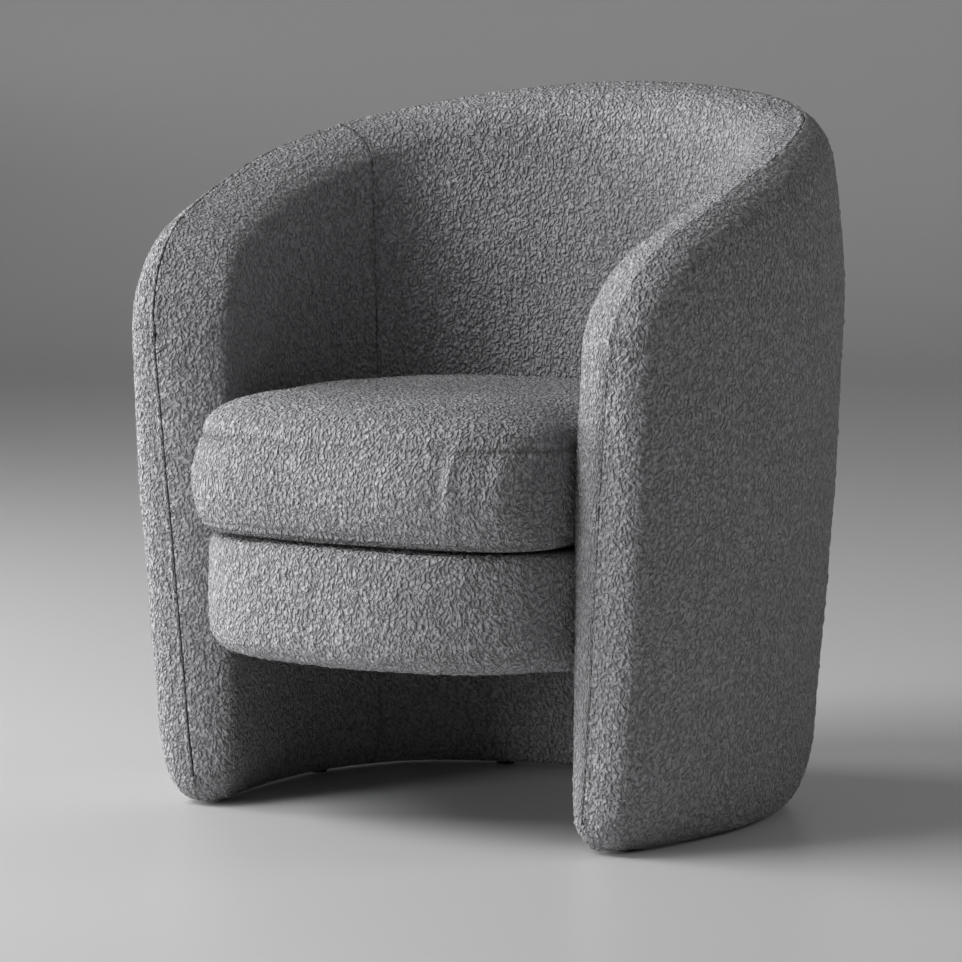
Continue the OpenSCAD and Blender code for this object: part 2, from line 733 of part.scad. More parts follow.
// Sinuous springs: half turns of wire from the back rail to the front rail, arched a little
spring_pitch = 25;
spring_w = 46;
spring_arch = 5;
spring_last_x = 120;
spring_seat = 9;
clip_w = 14;
clip_t = 1.6;
spring_z = rail_top + clip_t + wire_d / 2 + 2 * fit;
bend_turns = [30, 90, 150];
wire_sides = 5;
function spring_x(i) = spring_n > 1 ? mix(-spring_last_x, spring_last_x, i / (spring_n - 1)) : 0;
// Where a line at x meets the inner edge of the seat frame at the back and at the nose
inner_back_r = back_r + rail_off - seat_rail_t;
inner_nose = deck_nose(rail_deep + seat_rail_t);
function spring_back(x) = back_c.y + sqrt(pow(inner_back_r, 2) - pow(abs(x), 2)) + spring_seat;
function spring_front(x) = lookup(abs(x), reverse(inner_nose)) - spring_seat;

module spring(x) {
  y1 = spring_back(x);
  y0 = spring_front(x);
  bends = floor((y1 - y0) / spring_pitch) - 1;
  r = spring_pitch / 2;
  start = (y1 + y0) / 2 + bends * r;
  pts = concat(
    [[x, y1]],
    [for (b = [0:bends - 1]) for (t = bend_turns)
      let (side = b % 2 == 0 ? 1 : -1)
      [x + side * (spring_w / 2 - r + r * sin(t)), start - r - b * spring_pitch + r * cos(t)]],
    [[x, y0]]
  );
  n = len(pts);
  function rise(y) = spring_z + spring_arch * (1 - pow(2 * (y - (y0 + y1) / 2) / (y1 - y0), 2));
  stack_solid([
    for (i = [0:n - 1])
      let (d = pts[min(n - 1, i + 1)] - pts[max(0, i - 1)], u = [-d.y, d.x] / norm(d) * wire_d / 2)
      [for (k = [0:wire_sides - 1]) let (t = 360 * k / wire_sides)
        [pts[i].x + cos(t) * u.x, pts[i].y + cos(t) * u.y, rise(pts[i].y) + sin(t) * wire_d / 2]]
  ]);
}

module seat_springs() {
  color(steel)
    for (i = [0:spring_n - 1])
      spring(spring_x(i));
}

// Each clip is a C of steel strip on the rail, open towards the spring
clip_room = wire_d + 2 * fit;
module spring_clip() {
  translate([-clip_w / 2, 0, 0])
    rotate([90, 0, 90])
      linear_extrude(clip_w)
        polygon([
          [-clip_w / 2, 0], [clip_w / 2, 0], [clip_w / 2, 2 * clip_t + clip_room],
          [-clip_w / 2, 2 * clip_t + clip_room], [-clip_w / 2, clip_t + clip_room],
          [clip_w / 2 - clip_t, clip_t + clip_room], [clip_w / 2 - clip_t, clip_t], [-clip_w / 2, clip_t]
        ]);
}

module spring_clips() {
  color(steel)
    for (i = [0:spring_n - 1]) {
      x = spring_x(i);
      translate([x, spring_back(x), rail_top + fit])
        spring_clip();
      translate([x, spring_front(x), rail_top + fit])
        rotate([0, 0, 180])
          spring_clip();
    }
}

tie_d = 2.4;
tie_z = spring_z + spring_arch + wire_d / 2 + tie_d / 2 + fit;
tie_reach = spring_last_x + spring_w / 2;
tie_apart = 51;
seat_mid_y = (back_y - wall_in - chair_d / 2) / 2;
module tie_wires() {
  color(steel)
    for (k = [-1, 1])
      translate([0, seat_mid_y + k * tie_apart, tie_z])
        rotate([0, 90, 0])
          cylinder(h = 2 * tie_reach, r = tie_d / 2, center = true, $fn = 24);
}

insulator_t = 1.2;
module insulator() {
  color(board)
    translate([0, 0, deck_foam_z - insulator_t - fit])
      linear_extrude(insulator_t)
        polygon(plan_of(rail_half(fit)));
}

dust_t = 0.8;
module dust_cover() {
  color(felt)
    translate([0, 0, deck_z + cover_t + fit])
      linear_extrude(dust_t)
        polygon(plan_of(deck_half(cover_t + 2 * fit, deck_low_r + fit)));
}

// Screws from the seat frame through the wall's lining into the ribs
screw_r = 2.5;
screw_head_r = 5;
screw_head_t = 3;
screw_z = rail_z + seat_rail_h / 2;
screw_bite = 28;
screw_len = seat_rail_t + cover_t + inner_pad_t + liner_t + screw_bite;
screw_cols = [-11, -8, -2, 2, 8, 11];
module at_screws() {
  for (c = screw_cols)
    translate(concat(wall_xy(rib_s(c), rail_off - seat_rail_t), screw_z))
      rotate([0, 0, c < 0 ? 90 + heading(-rib_s(c)) : 90 - heading(rib_s(c))])
        rotate([0, 90, 0])
          children();
}
module screw_holes() {
  at_screws()
    translate([0, 0, -seat_rail_t])
      cylinder(h = 3 * seat_rail_t, r = screw_r + fit / 2, $fn = 32);
}

module seat_screws() {
  color(steel)
    at_screws()
      translate([0, 0, -2 * fit]) {
        cylinder(h = screw_len, r = screw_r, $fn = 32);
        translate([0, 0, -screw_head_t])
          cylinder(h = screw_head_t, r = screw_head_r, $fn = 32);
      }
}

// Cushion outline; deep is the depth inside its cover, swell the bulge at the nose, draw the hollow at
// the back
cushion_z = deck_top_z + fit;
seam_low = cushion_z + lip_h;
seam_top = seam_low + boxing_h;
cushion_nose_y = -chair_d / 2 + nose_back + cushion_nose_d;
function drawn_in(s) = clamp01(((arc_s[1] + arc_s[2]) / 2 - s) / (arc_len[1] / 2));
function cushion_ring(deep, swell, draw, z) = full_ring(concat(
  [for (s = seat_wall_cols) wall_xy(s, -wall_in - cushion_clear - deep - draw * drawn_in(s))],
  nose_pts(cushion_nose_w / 2, cushion_nose_d, cushion_nose_y, cushion_power, swell, deep)
), z);
// Height of the crown over the panel, from the seam (1) to the middle (0)
cushion_mid_y = (back_y - wall_in - cushion_clear - chair_d / 2 + nose_back) / 2;
crown_shares = [1, 0.98, 0.93, 0.83, 0.62, 0.3];
crown_lining_shares = [1, 0.93, 0.62];
crown_curve = 3.2;
crown_fall = 0.5;
function crown_at(c) = pow(1 - pow(c, crown_curve), crown_fall);
function shrink(ring, c) = [for (p = ring) [p.x * c, mix(cushion_mid_y, p.y, c), p.z]];
function dome(shares, deep, z, rise) =
  [for (c = shares) shrink(cushion_ring(deep, 0, 0, z + rise * crown_at(c)), c)];

module cushion_top_panel() {
  color(boucle)
    stack_solid(concat(
      reverse(dome(crown_lining_shares, cover_t, seam_top + fit, crown_h - cover_t)),
      dome(crown_shares, 0, seam_top + fit, crown_h)
    ));
}

flat_share = 0.85;
belly_shares = [1, 0.965, flat_share];
belly_lining_shares = [1, flat_share];
function belly(shares, deep, drop) = [
  for (c = shares)
    shrink(cushion_ring(deep, 0, 0, seam_low - fit - drop * crown_at(c) / crown_at(flat_share)), c)
];

module cushion_bottom_panel() {
  color(boucle)
    stack_solid(concat(
      reverse(belly(belly_shares, 0, lip_h - fit)),
      belly(belly_lining_shares, cover_t, lip_h - fit - cover_t)
    ));
}

boxing_rows_share = [0, 0.12, 0.32, 0.5, 0.68, 0.88, 1];
boxing_lining_share = [0, 0.32, 0.68, 1];
// The hollow round the zip has its full depth over the middle of the boxing and none at its seams
draw_rate = 3;
draw_start = 0.6;
function boxing_ring(deep, r) = cushion_ring(deep, nose_swell * sin(180 * r),
  zip_draw * clamp01(draw_rate * sin(180 * r) - draw_start), mix(seam_low, seam_top, r));

module cushion_boxing() {
  color(boucle)
    loop_solid(concat(
      [for (r = boxing_rows_share) boxing_ring(0, r)],
      [for (r = reverse(boxing_lining_share)) boxing_ring(cover_t, r)]
    ), len(boxing_rows_share));
}

cord_r = 1.6;
cord_turns = [45, 135, 225, 315];
module cushion_seams() {
  color(boucle)
    for (z = [seam_low, seam_top])
      loop_solid([
        for (t = cord_turns) cushion_ring(-fit - cord_r - cord_r * cos(t), 0, 0, z + cord_r * sin(t))
      ], len(cord_turns));
}

// Wadding over the top and round the sides of the foam block
wrap_t = 11;
filling_crown_shares = [0.93, 0.62];
function filling(deep, rise) = concat(
  [for (r = boxing_lining_share) boxing_ring(deep, r)],
  [for (c = filling_crown_shares) shrink(cushion_ring(deep, 0, 0, seam_top + rise * crown_at(c)), c)]
);
module cushion_wrap() {
  deep = cover_t + fit;
  color(fibre)
    stack_solid(concat(
      reverse(filling(deep + wrap_t, crown_h - cover_t - wrap_t)),
      filling(deep, crown_h - cover_t)
    ), len(boxing_lining_share) + len(filling_crown_shares) - 1);
}

module cushion_core() {
  deep = cover_t + wrap_t + 2 * fit;
  color(foam)
    stack_solid(concat(
      [shrink(cushion_ring(deep, 0, 0, cushion_z + cover_t + fit), flat_share)],
      filling(deep, crown_h - cover_t - wrap_t - fit)
    ));
}

// Zip round the back of the boxing, bent to the wall's back; heights are from the middle of the boxing
zip_r = back_r - wall_in - cushion_clear - zip_draw;
zip_z = (seam_low + seam_top) / 2;
zip_half = 12;
zip_edge = 3;
tape_t = 0.6;
tape_in = 1.6;
tape_out = tape_in + tape_t;
slot_half = 0.7;
tooth_h = 2.2;
tooth_t = 1.4;
stop_angle = 0.7;
function arc_deg(len) = len / zip_r * 180 / PI;
// A profile of depth and height, bent about the middle of the back's arc and centred at angle a
module zip_arc(a, span) {
  translate([back_c.x, back_c.y, zip_z])
    rotate([0, 0, 90 - a - span / 2])
      rotate_extrude(angle = span, $fn = 360)
        translate([zip_r, 0])
          children();
}

module zip_tape() {
  color(felt) {
    zip_arc(0, 2 * zip_angle) {
      tape_profile();
      mirror([0, 1])
        tape_profile();
    }
    for (side = [1, -1])
      zip_arc(side * (zip_angle - stop_angle / 2), stop_angle)
        translate([tape_in + tape_t / 2, -slot_half - tooth_h / 2])
          square([tape_t + tooth_t, 2 * slot_half + tooth_h]);
  }
}
module tape_profile() {
  polygon([
    [tape_in, slot_half], [tape_out + tooth_t, slot_half], [tape_out + tooth_t, slot_half + tooth_h],
    [tape_out, slot_half + tooth_h], [tape_out, zip_half], [fit, zip_half],
    [fit, zip_half - zip_edge], [tape_in, zip_half - zip_edge]
  ]);
}

// Slider: a plate on each side of the tape, joined by a post in the slot, with a bridge for the pull
slider_len = 10;
slider_half = 5;
plate_t = 1;
post_len = 3;
bridge_leg = 1.5;
bridge_half = 1.2;
bridge_room = 1.2;
bridge_t = 0.8;
slider_angle = zip_angle - stop_angle - arc_deg(slider_len) / 2 - arc_deg(fit);
top_in = tape_out + tooth_t + fit;
top_out = top_in + plate_t;
module zip_slider() {
  flange_in = slot_half + tooth_h + fit;
  leg_angle = arc_deg(slider_len - bridge_leg - 2 * fit) / 2;
  color(steel) {
    zip_arc(slider_angle, arc_deg(slider_len))
      polygon([
        [top_in, -flange_in], [tape_out + fit, -flange_in], [tape_out + fit, -slider_half],
        [top_out, -slider_half], [top_out, slider_half], [tape_out + fit, slider_half],
        [tape_out + fit, flange_in], [top_in, flange_in]
      ]);
    zip_arc(slider_angle, arc_deg(slider_len))
      translate([fit, -slider_half])
        square([plate_t, 2 * slider_half]);
    zip_arc(slider_angle, arc_deg(post_len))
      translate([fit + plate_t / 2, fit - slot_half])
        square([top_in - fit, 2 * (slot_half - fit)]);
    for (side = [1, -1])
      zip_arc(slider_angle + side * leg_angle, arc_deg(bridge_leg))
        translate([top_in + plate_t / 2, fit - bridge_half])
          square([plate_t / 2 + bridge_room + bridge_t / 2, 2 * (bridge_half - fit)]);
    zip_arc(slider_angle, 2 * leg_angle)
      translate([top_out + bridge_room, -bridge_half])
        square([bridge_t, 2 * bridge_half]);
  }
}

// Pull: it hangs through the bridge and is thicker above and below it
pull_len = 24;
pull_w = 5.6;
pull_lip = 2;
module zip_pull() {
  in = top_out + fit;
  thin = top_out + bridge_room - fit;
  thick = top_out + bridge_room + bridge_t / 2;
  neck = bridge_half + fit;
  color(steel)
    zip_arc(slider_angle, arc_deg(pull_w))
      polygon([
        [in, -pull_len], [thick, -pull_len], [thick, -neck], [thin, -neck],
        [thin, neck], [thick, neck], [thick, neck + pull_lip], [in, neck + pull_lip]
      ]);
}

outside_cover();
inside_back_cover();
inside_arm_cover_left();
inside_arm_cover_right();
crest_seam();
outside_padding();
inside_padding();
outside_liner();
inside_liner();
base_ring();
wall_ribs();
front_posts();
top_rail();
glides();
glide_nails();
deck_cover();
deck_foam();
insulator();
seat_springs();
spring_clips();
tie_wires();
front_seat_rail();
side_seat_rails();
back_seat_rail();
corner_blocks();
dust_cover();
seat_screws();
cushion_top_panel();
cushion_boxing();
cushion_bottom_panel();
cushion_seams();
cushion_wrap();
cushion_core();
zip_tape();
zip_slider();
zip_pull();
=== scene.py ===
# Tub chair in grey boucle: one curved upholstered wall on low glides, a sprung seat deck and a loose
# cushion. Metres, +Z up, the open front towards -Y. Pieces follow the order in which the chair is put
# together.
import math

import bpy
import numpy as np
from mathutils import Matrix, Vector


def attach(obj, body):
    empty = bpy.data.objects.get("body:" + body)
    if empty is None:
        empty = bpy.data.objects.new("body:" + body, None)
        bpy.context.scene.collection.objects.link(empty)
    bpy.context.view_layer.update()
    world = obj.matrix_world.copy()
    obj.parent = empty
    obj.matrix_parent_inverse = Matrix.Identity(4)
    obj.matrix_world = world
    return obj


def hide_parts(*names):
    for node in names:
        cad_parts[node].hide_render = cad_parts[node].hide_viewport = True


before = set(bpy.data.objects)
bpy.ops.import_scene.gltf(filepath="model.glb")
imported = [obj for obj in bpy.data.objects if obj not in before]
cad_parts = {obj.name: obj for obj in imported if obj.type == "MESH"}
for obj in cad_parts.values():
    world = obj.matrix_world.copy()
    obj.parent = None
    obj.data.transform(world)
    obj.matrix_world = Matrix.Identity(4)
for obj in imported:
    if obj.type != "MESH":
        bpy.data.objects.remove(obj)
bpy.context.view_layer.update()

# Base ring, ribs and front posts
# The wall stands on a U of birch plywood. Ribs and two front posts of the same board are glued and
# screwed on it; the cut edges show the thin plies.
PLY_LIGHT = (0.62, 0.45, 0.26, 1)
PLY_DARK = (0.42, 0.27, 0.14, 1)


def new_material(name, rough, sheen=0.0):
    """A material with one principled shader; returns the material, its node tree and the shader."""
    mat = bpy.data.materials.new(name)
    mat.use_nodes = True
    tree = mat.node_tree
    skin = tree.nodes["Principled BSDF"]
    skin.inputs["Roughness"].default_value = rough
    skin.inputs["Sheen Weight"].default_value = sheen
    return mat, tree, skin


def add_node(tree, kind, out=0, **inputs):
    """A shader node; each input is a number, a colour or another node's output. Returns one output."""
    node = tree.nodes.new(kind)
    for key, value in inputs.items():
        socket = node.inputs[int(key[1:])] if key[0] == "i" and key[1:].isdigit() else node.inputs[key]
        if isinstance(value, bpy.types.NodeSocket):
            tree.links.new(value, socket)
        else:
            socket.default_value = value
    return node.outputs[out]


def maths(tree, operation, *values):
    """One step of arithmetic on numbers or outputs."""
    out = add_node(tree, "ShaderNodeMath", **{"i%d" % k: v for k, v in enumerate(values)})
    out.node.operation = operation
    return out


def stretched(tree, scale, shift=(0, 0, 0)):
    """Object coordinates, scaled along each axis and shifted."""
    place = add_node(tree, "ShaderNodeTexCoord", out=3)
    return add_node(tree, "ShaderNodeMapping", Vector=place, Location=shift, Scale=scale)


def ramp(tree, value, low, high, start=0.0, end=1.0):
    """Colour that goes from low to high as value goes from start to end."""
    out = add_node(tree, "ShaderNodeValToRGB", Fac=value)
    stops = out.node.color_ramp.elements
    stops[0].position, stops[1].position = start, end
    stops[0].color, stops[1].color = low, high
    return out


def relief(tree, skin, height, depth, strength=1.0):
    """Bump of the given depth in metres where height is 1."""
    bump = add_node(tree, "ShaderNodeBump", Height=height, Distance=depth, Strength=strength)
    tree.links.new(bump, skin.inputs["Normal"])


def dress(mat, *names):
    """Gives a carried-over CAD node its finish."""
    for name in names:
        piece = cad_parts[name]
        piece.data.materials.clear()
        piece.data.materials.append(mat)


def wood(name, light, dark, grain, rings):
    """Wood: stretched noise for the grain, with a finer layer for pores."""
    mat, tree, skin = new_material(name, 0.55)
    place = stretched(tree, grain)
    streak = add_node(tree, "ShaderNodeTexNoise", Vector=place, Scale=rings, Detail=4.0)
    pores = add_node(tree, "ShaderNodeTexNoise", Vector=place, Scale=rings * 6, Detail=2.0)
    both = maths(tree, "MULTIPLY_ADD", pores, 0.35, streak)
    tree.links.new(ramp(tree, both, dark, light, 0.45, 0.85), skin.inputs["Base Color"])
    relief(tree, skin, both, 0.0003)
    return mat


dress(wood("birch_plywood", PLY_LIGHT, PLY_DARK, (1, 1, 14), 14.0),
      "base_ring", "wall_ribs", "front_posts")

# Top rail and seat rails
# Beech, laminated and bent for the top rail and the round front rail. Corner blocks are glued in behind.
BEECH_LIGHT = (0.58, 0.36, 0.19, 1)
BEECH_DARK = (0.36, 0.2, 0.1, 1)
dress(wood("beech", BEECH_LIGHT, BEECH_DARK, (3, 3, 18), 9.0),
      "top_rail", "front_seat_rail", "side_seat_rails", "back_seat_rail", "corner_blocks")

# Liner boards
# Thin hardboard stapled to both edges of the ribs, so the foam has a closed surface to lie on.
BOARD_LIGHT = (0.36, 0.22, 0.12, 1)
BOARD_DARK = (0.24, 0.14, 0.07, 1)


def speckle(name, light, dark, scale, rough, depth=0.0, sheen=0.0):
    """Fine mottling from noise, with a relief of the same pattern."""
    mat, tree, skin = new_material(name, rough, sheen)
    place = stretched(tree, (1, 1, 1))
    grain = add_node(tree, "ShaderNodeTexNoise", Vector=place, Scale=scale, Detail=5.0)
    tree.links.new(ramp(tree, grain, dark, light, 0.35, 0.7), skin.inputs["Base Color"])
    if depth:
        relief(tree, skin, grain, depth)
    return mat


dress(speckle("hardboard", BOARD_LIGHT, BOARD_DARK, 240.0, 0.8, 0.0002),
      "outside_liner", "inside_liner")

# Foam and wadding
# Cut polyurethane foam on the wall, on the deck and in the cushion, and polyester wadding round the foam
# of the cushion.
FOAM_LIGHT = (0.82, 0.74, 0.5, 1)
FOAM_DARK = (0.66, 0.57, 0.36, 1)
FIBRE_LIGHT = (0.9, 0.9, 0.88, 1)
FIBRE_DARK = (0.72, 0.72, 0.7, 1)
dress(speckle("foam", FOAM_LIGHT, FOAM_DARK, 700.0, 0.95, 0.0006),
      "outside_padding", "inside_padding", "deck_foam", "cushion_core")
dress(speckle("wadding", FIBRE_LIGHT, FIBRE_DARK, 90.0, 1.0, 0.002, 0.3), "cushion_wrap")

# Springs, clips, tie wires, screws and nails
# Sinuous springs of drawn steel wire in stamped clips, tied across. Screws and nails are bright zinc; here
# they share the steel finish of the springs.
STEEL_LIGHT = (0.62, 0.63, 0.65, 1)
STEEL_DARK = (0.42, 0.43, 0.45, 1)
NICKEL_LIGHT = (0.7, 0.7, 0.7, 1)
NICKEL_DARK = (0.5, 0.5, 0.5, 1)


def metal(name, light, dark, scale, rough):
    """Bare metal: the mottling with a faint relief, fully metallic."""
    mat = speckle(name, light, dark, scale, rough, 0.00005)
    mat.node_tree.nodes["Principled BSDF"].inputs["Metallic"].default_value = 1.0
    return mat


dress(metal("spring_steel", STEEL_LIGHT, STEEL_DARK, 120.0, 0.35),
      "seat_springs", "spring_clips", "tie_wires", "seat_screws", "glide_nails")
dress(metal("zip_nickel", NICKEL_LIGHT, NICKEL_DARK, 400.0, 0.28), "zip_slider", "zip_pull")

# Glides
# Black nylon buttons under the base ring, each held by one nail.
NYLON_LIGHT = (0.035, 0.035, 0.038, 1)
NYLON_DARK = (0.015, 0.015, 0.016, 1)
dress(speckle("black_nylon", NYLON_LIGHT, NYLON_DARK, 500.0, 0.5, 0.0001), "glides")


# Insulator, dust cover and zip tape
# Burlap over the springs, black cambric under the seat, and the woven tape of the zip with its teeth.
BURLAP_LIGHT = (0.4, 0.27, 0.14, 1)
BURLAP_DARK = (0.2, 0.13, 0.07, 1)
BLACK_LIGHT = (0.03, 0.03, 0.032, 1)
BLACK_DARK = (0.012, 0.012, 0.013, 1)


def plain_weave(name, light, dark, threads, rough=0.9):
    """Plain weave: sine waves along the three axes, of which the highest shows at each place."""
    mat, tree, skin = new_material(name, rough, 0.1)
    place = add_node(tree, "ShaderNodeTexCoord", out=3)
    parts = tree.nodes.new("ShaderNodeSeparateXYZ")
    tree.links.new(place, parts.inputs[0])
    waves = [maths(tree, "SINE", maths(tree, "MULTIPLY", parts.outputs[k], threads)) for k in (0, 1, 2)]
    height = maths(tree, "MAXIMUM", waves[0], maths(tree, "MAXIMUM", waves[1], waves[2]))
    tree.links.new(ramp(tree, height, dark, light, 0.0, 1.0), skin.inputs["Base Color"])
    relief(tree, skin, height, 0.0003)
    return mat


dress(plain_weave("burlap", BURLAP_LIGHT, BURLAP_DARK, 2600.0), "insulator")
dress(plain_weave("zip_tape_cloth", BLACK_LIGHT, BLACK_DARK, 6000.0), "zip_tape")

# Boucle
# A looped yarn woven in mid grey: curls of 4 to 8 mm lie in every direction, so the cloth looks nubbly.
# CLOTH_LIT is the colour of the loop tops and CLOTH_PAINTED_SHADE the painted shade in the gaps between
# them; the yarn itself is one mid grey.
CLOTH_LIT = (0.415, 0.415, 0.431, 1)
CLOTH_PAINTED_SHADE = (0.21, 0.21, 0.218, 1)
LOOP_DEEP, BEND = 0.0032, 0.0055
SEAM_HALF_W, GROOVE_AND_SHADE, SEAM_FADE = 0.0015, -1.1, 6.0
LONGER = (1, 1, 0.75)


def boucle_cloth(name, seams=()):
    """Rounded nubs from the cells of a Voronoi pattern, crossed by short curls: bands along the level
    lines of two noises. Both follow coordinates bent by noise. The colour follows the height, so the gaps
    and low places are painted darker than the tops: painted shade, since the yarn is one grey. Each
    level seam is a height and a share: a narrow groove, 1 over 1 plus the square of the distance from it
    in half widths, that fades to the share in the middle of the chair; it lowers both the relief and the
    colour, so the groove is a real groove with painted shade in it."""
    mat, tree, skin = new_material(name, 1.0, 0.2)
    skin.inputs["Sheen Roughness"].default_value = 0.6
    skin.inputs["Specular IOR Level"].default_value = 0.1
    place = add_node(tree, "ShaderNodeTexCoord", out=3)
    bend = add_node(tree, "ShaderNodeTexNoise", out=1, Vector=place, Scale=110.0, Detail=1.0)
    push = tree.nodes.new("ShaderNodeVectorMath")
    push.operation = "MULTIPLY_ADD"
    tree.links.new(bend, push.inputs[0])
    push.inputs[1].default_value = (BEND, BEND, BEND)
    tree.links.new(place, push.inputs[2])

    def curls(scale, bands, shift):
        """Bands from 0 to 1 along the level lines of one noise: half a sine of the noise, plus a half."""
        spread = add_node(tree, "ShaderNodeMapping", Vector=push.outputs[0], Location=shift,
                          Scale=LONGER)
        field = add_node(tree, "ShaderNodeTexNoise", Vector=spread, Scale=scale, Detail=0.0)
        wave = maths(tree, "SINE", maths(tree, "MULTIPLY", field, bands * math.tau))
        return maths(tree, "MULTIPLY_ADD", wave, 0.5, 0.5)

    spread = add_node(tree, "ShaderNodeMapping", Vector=push.outputs[0], Scale=LONGER)
    away = add_node(tree, "ShaderNodeTexVoronoi", Vector=spread, Scale=255.0)
    cell = maths(tree, "DIVIDE", away, 0.66)
    square = maths(tree, "MULTIPLY", cell, cell)
    dome = maths(tree, "MAXIMUM", maths(tree, "MULTIPLY_ADD", square, -1.0, 1.0), 0.0)
    curl = maths(tree, "MULTIPLY", curls(135.0, 3.2, (0, 0, 0)), curls(180.0, 2.8, (3, 5, 1)))
    nub = maths(tree, "POWER", dome, 0.8)
    loops = maths(tree, "MULTIPLY_ADD", maths(tree, "POWER", curl, 0.6), 0.9, nub)
    tall = stretched(tree, (1, 1, 0.7))
    clumps = add_node(tree, "ShaderNodeTexNoise", Vector=tall, Scale=150.0, Detail=1.0)
    height = maths(tree, "MULTIPLY_ADD", clumps, 0.5, loops)
    parts = tree.nodes.new("ShaderNodeSeparateXYZ")
    tree.links.new(place, parts.inputs[0])
    # Each seam groove lowers the height, which sinks the relief and also darkens the colour: a real groove
    # with painted shade in it.
    for seam_z, share in seams:
        off = maths(tree, "DIVIDE", maths(tree, "SUBTRACT", parts.outputs[2], seam_z), SEAM_HALF_W)
        out = maths(tree, "ABSOLUTE", parts.outputs[0])
        sides = maths(tree, "MINIMUM", maths(tree, "MULTIPLY", out, SEAM_FADE), 1.0)
        tight = maths(tree, "MAXIMUM", sides, share)
        groove = maths(tree, "DIVIDE", tight, maths(tree, "MULTIPLY_ADD", off, off, 1.0))
        height = maths(tree, "MULTIPLY_ADD", groove, GROOVE_AND_SHADE, height)
    # Painted shade: low places of the height, the gaps between loops and the seam grooves, get the darker
    # colour.
    shade = ramp(tree, maths(tree, "MULTIPLY", height, 0.5), CLOTH_PAINTED_SHADE, CLOTH_LIT, 0.1, 0.6)
    tree.links.new(shade, skin.inputs["Base Color"])
    relief(tree, skin, height, LOOP_DEEP)
    return mat


boucle = boucle_cloth("boucle")

# Outside cover
# One boucle panel goes round the outside of the wall over thin foam. It is sewn to the inside covers along
# the crest and down both arm fronts, and turned under at the foot.
CHAIR_H, CHAIR_D, GLIDE_H = 0.74, 0.616, 0.006
ARC_R = np.array([0.415, 0.155, 0.365, 0.6])
ARC_TURN = np.radians([29.5, 38, 26.5, 17])
TURN = np.concatenate([[0], np.cumsum(ARC_TURN)])
ARC_S = np.concatenate([[0], np.cumsum(ARC_R * ARC_TURN)])
WALL_LEN = ARC_S[-1]
WALL_OUT, WALL_IN = 0.049, 0.057
BACK_Y = CHAIR_D / 2 - WALL_OUT
CORNER_R = 0.077
CORNER_S = WALL_LEN - CORNER_R
FOOT_R = 0.026
FOOT_S = WALL_LEN - FOOT_R
ARC_C = [np.array([0, BACK_Y - ARC_R[0]])]
for k in range(3):
    outward = np.array([np.sin(TURN[k + 1]), np.cos(TURN[k + 1])])
    ARC_C.append(ARC_C[-1] + (ARC_R[k] - ARC_R[k + 1]) * outward)
ARC_C = np.array(ARC_C)
SEAM_GAP = 0.00015
ARM_DROP, NUB_H = 0.182, 0.0015
CREST_SOFT, FRONT_SOFT = 0.038, 0.02
FULLEST_Z, FOOT_TUCK, CREST_TUCK = 0.525, 0.035, 0.028
RECLINE_Z, RECLINE = 0.305, 0.016
OUTER_ROLL, INNER_ROLL = (0.026, 0.08), (0.02, 0.06)
SEAM_FOOT, SEAM_CREST = 0.04, 0.45
HEM_W, HEM_IN, HEM_UP = 0.008, 0.004, 0.0004
CLOTH_T = 0.0025
TIGHT_PULL, WIDE_PULL, SEAM_PULL = (0.0026, 0.0035), (0.0008, 0.02), (0.0017, 0.003)


def wall_xy(s, off):
    """Point off beyond the wall's middle line at length s from the back: the centre of its arc plus the
    radius along the turn."""
    a = np.minimum(np.abs(s), WALL_LEN - 1e-9)
    arc = np.searchsorted(ARC_S, a, side="right") - 1
    t = TURN[arc] + (a - ARC_S[arc]) / ARC_R[arc]
    r = ARC_R[arc] + off
    return np.sign(s + 1e-12) * (ARC_C[arc, 0] + r * np.sin(t)), ARC_C[arc, 1] + r * np.cos(t)


def crest_line(a):
    """Height of the crest without the round of the arm front: a parabola that falls towards the front."""
    return CHAIR_H - NUB_H - ARM_DROP * (a / WALL_LEN) ** 2


def crest(a):
    """Crest height: the falling line, then a quarter round."""
    over = np.maximum(0, a - CORNER_S)
    fall = CORNER_R - np.sqrt(np.maximum(0, CORNER_R**2 - over**2))
    return crest_line(a) - np.where(over > 0, fall, 0)


def foot(a):
    """Height of the foot: level, then a quarter round up into the arm front."""
    return GLIDE_H + FOOT_R - np.sqrt(np.maximum(0, FOOT_R**2 - np.maximum(0, a - FOOT_S) ** 2))


def fullness(a, z):
    """0 on the wall's edge and 1 where its faces are full: a quarter round over the soft depth of the
    edge, which is less down the arm fronts."""
    line = crest_line(a)
    u, v = a - CORNER_S, z - line + CORNER_R
    reach = FOOT_S + FOOT_R * np.sqrt(1 - np.clip((GLIDE_H + FOOT_R - z) / FOOT_R, 0, 1) ** 2)
    gap = np.where((u > 0) & (v > 0), CORNER_R - np.hypot(u, v), np.minimum(reach - a, line - z))
    low = np.clip((0.9 * CHAIR_H - z) / (0.35 * CHAIR_H), 0, 1)
    low = low * np.clip((a / WALL_LEN - 0.5) / 0.4, 0, 1)
    soft = CREST_SOFT + (FRONT_SOFT - CREST_SOFT) * low
    return np.sqrt(np.maximum(0, 1 - np.clip(1 - gap / soft, 0, 1) ** 2))


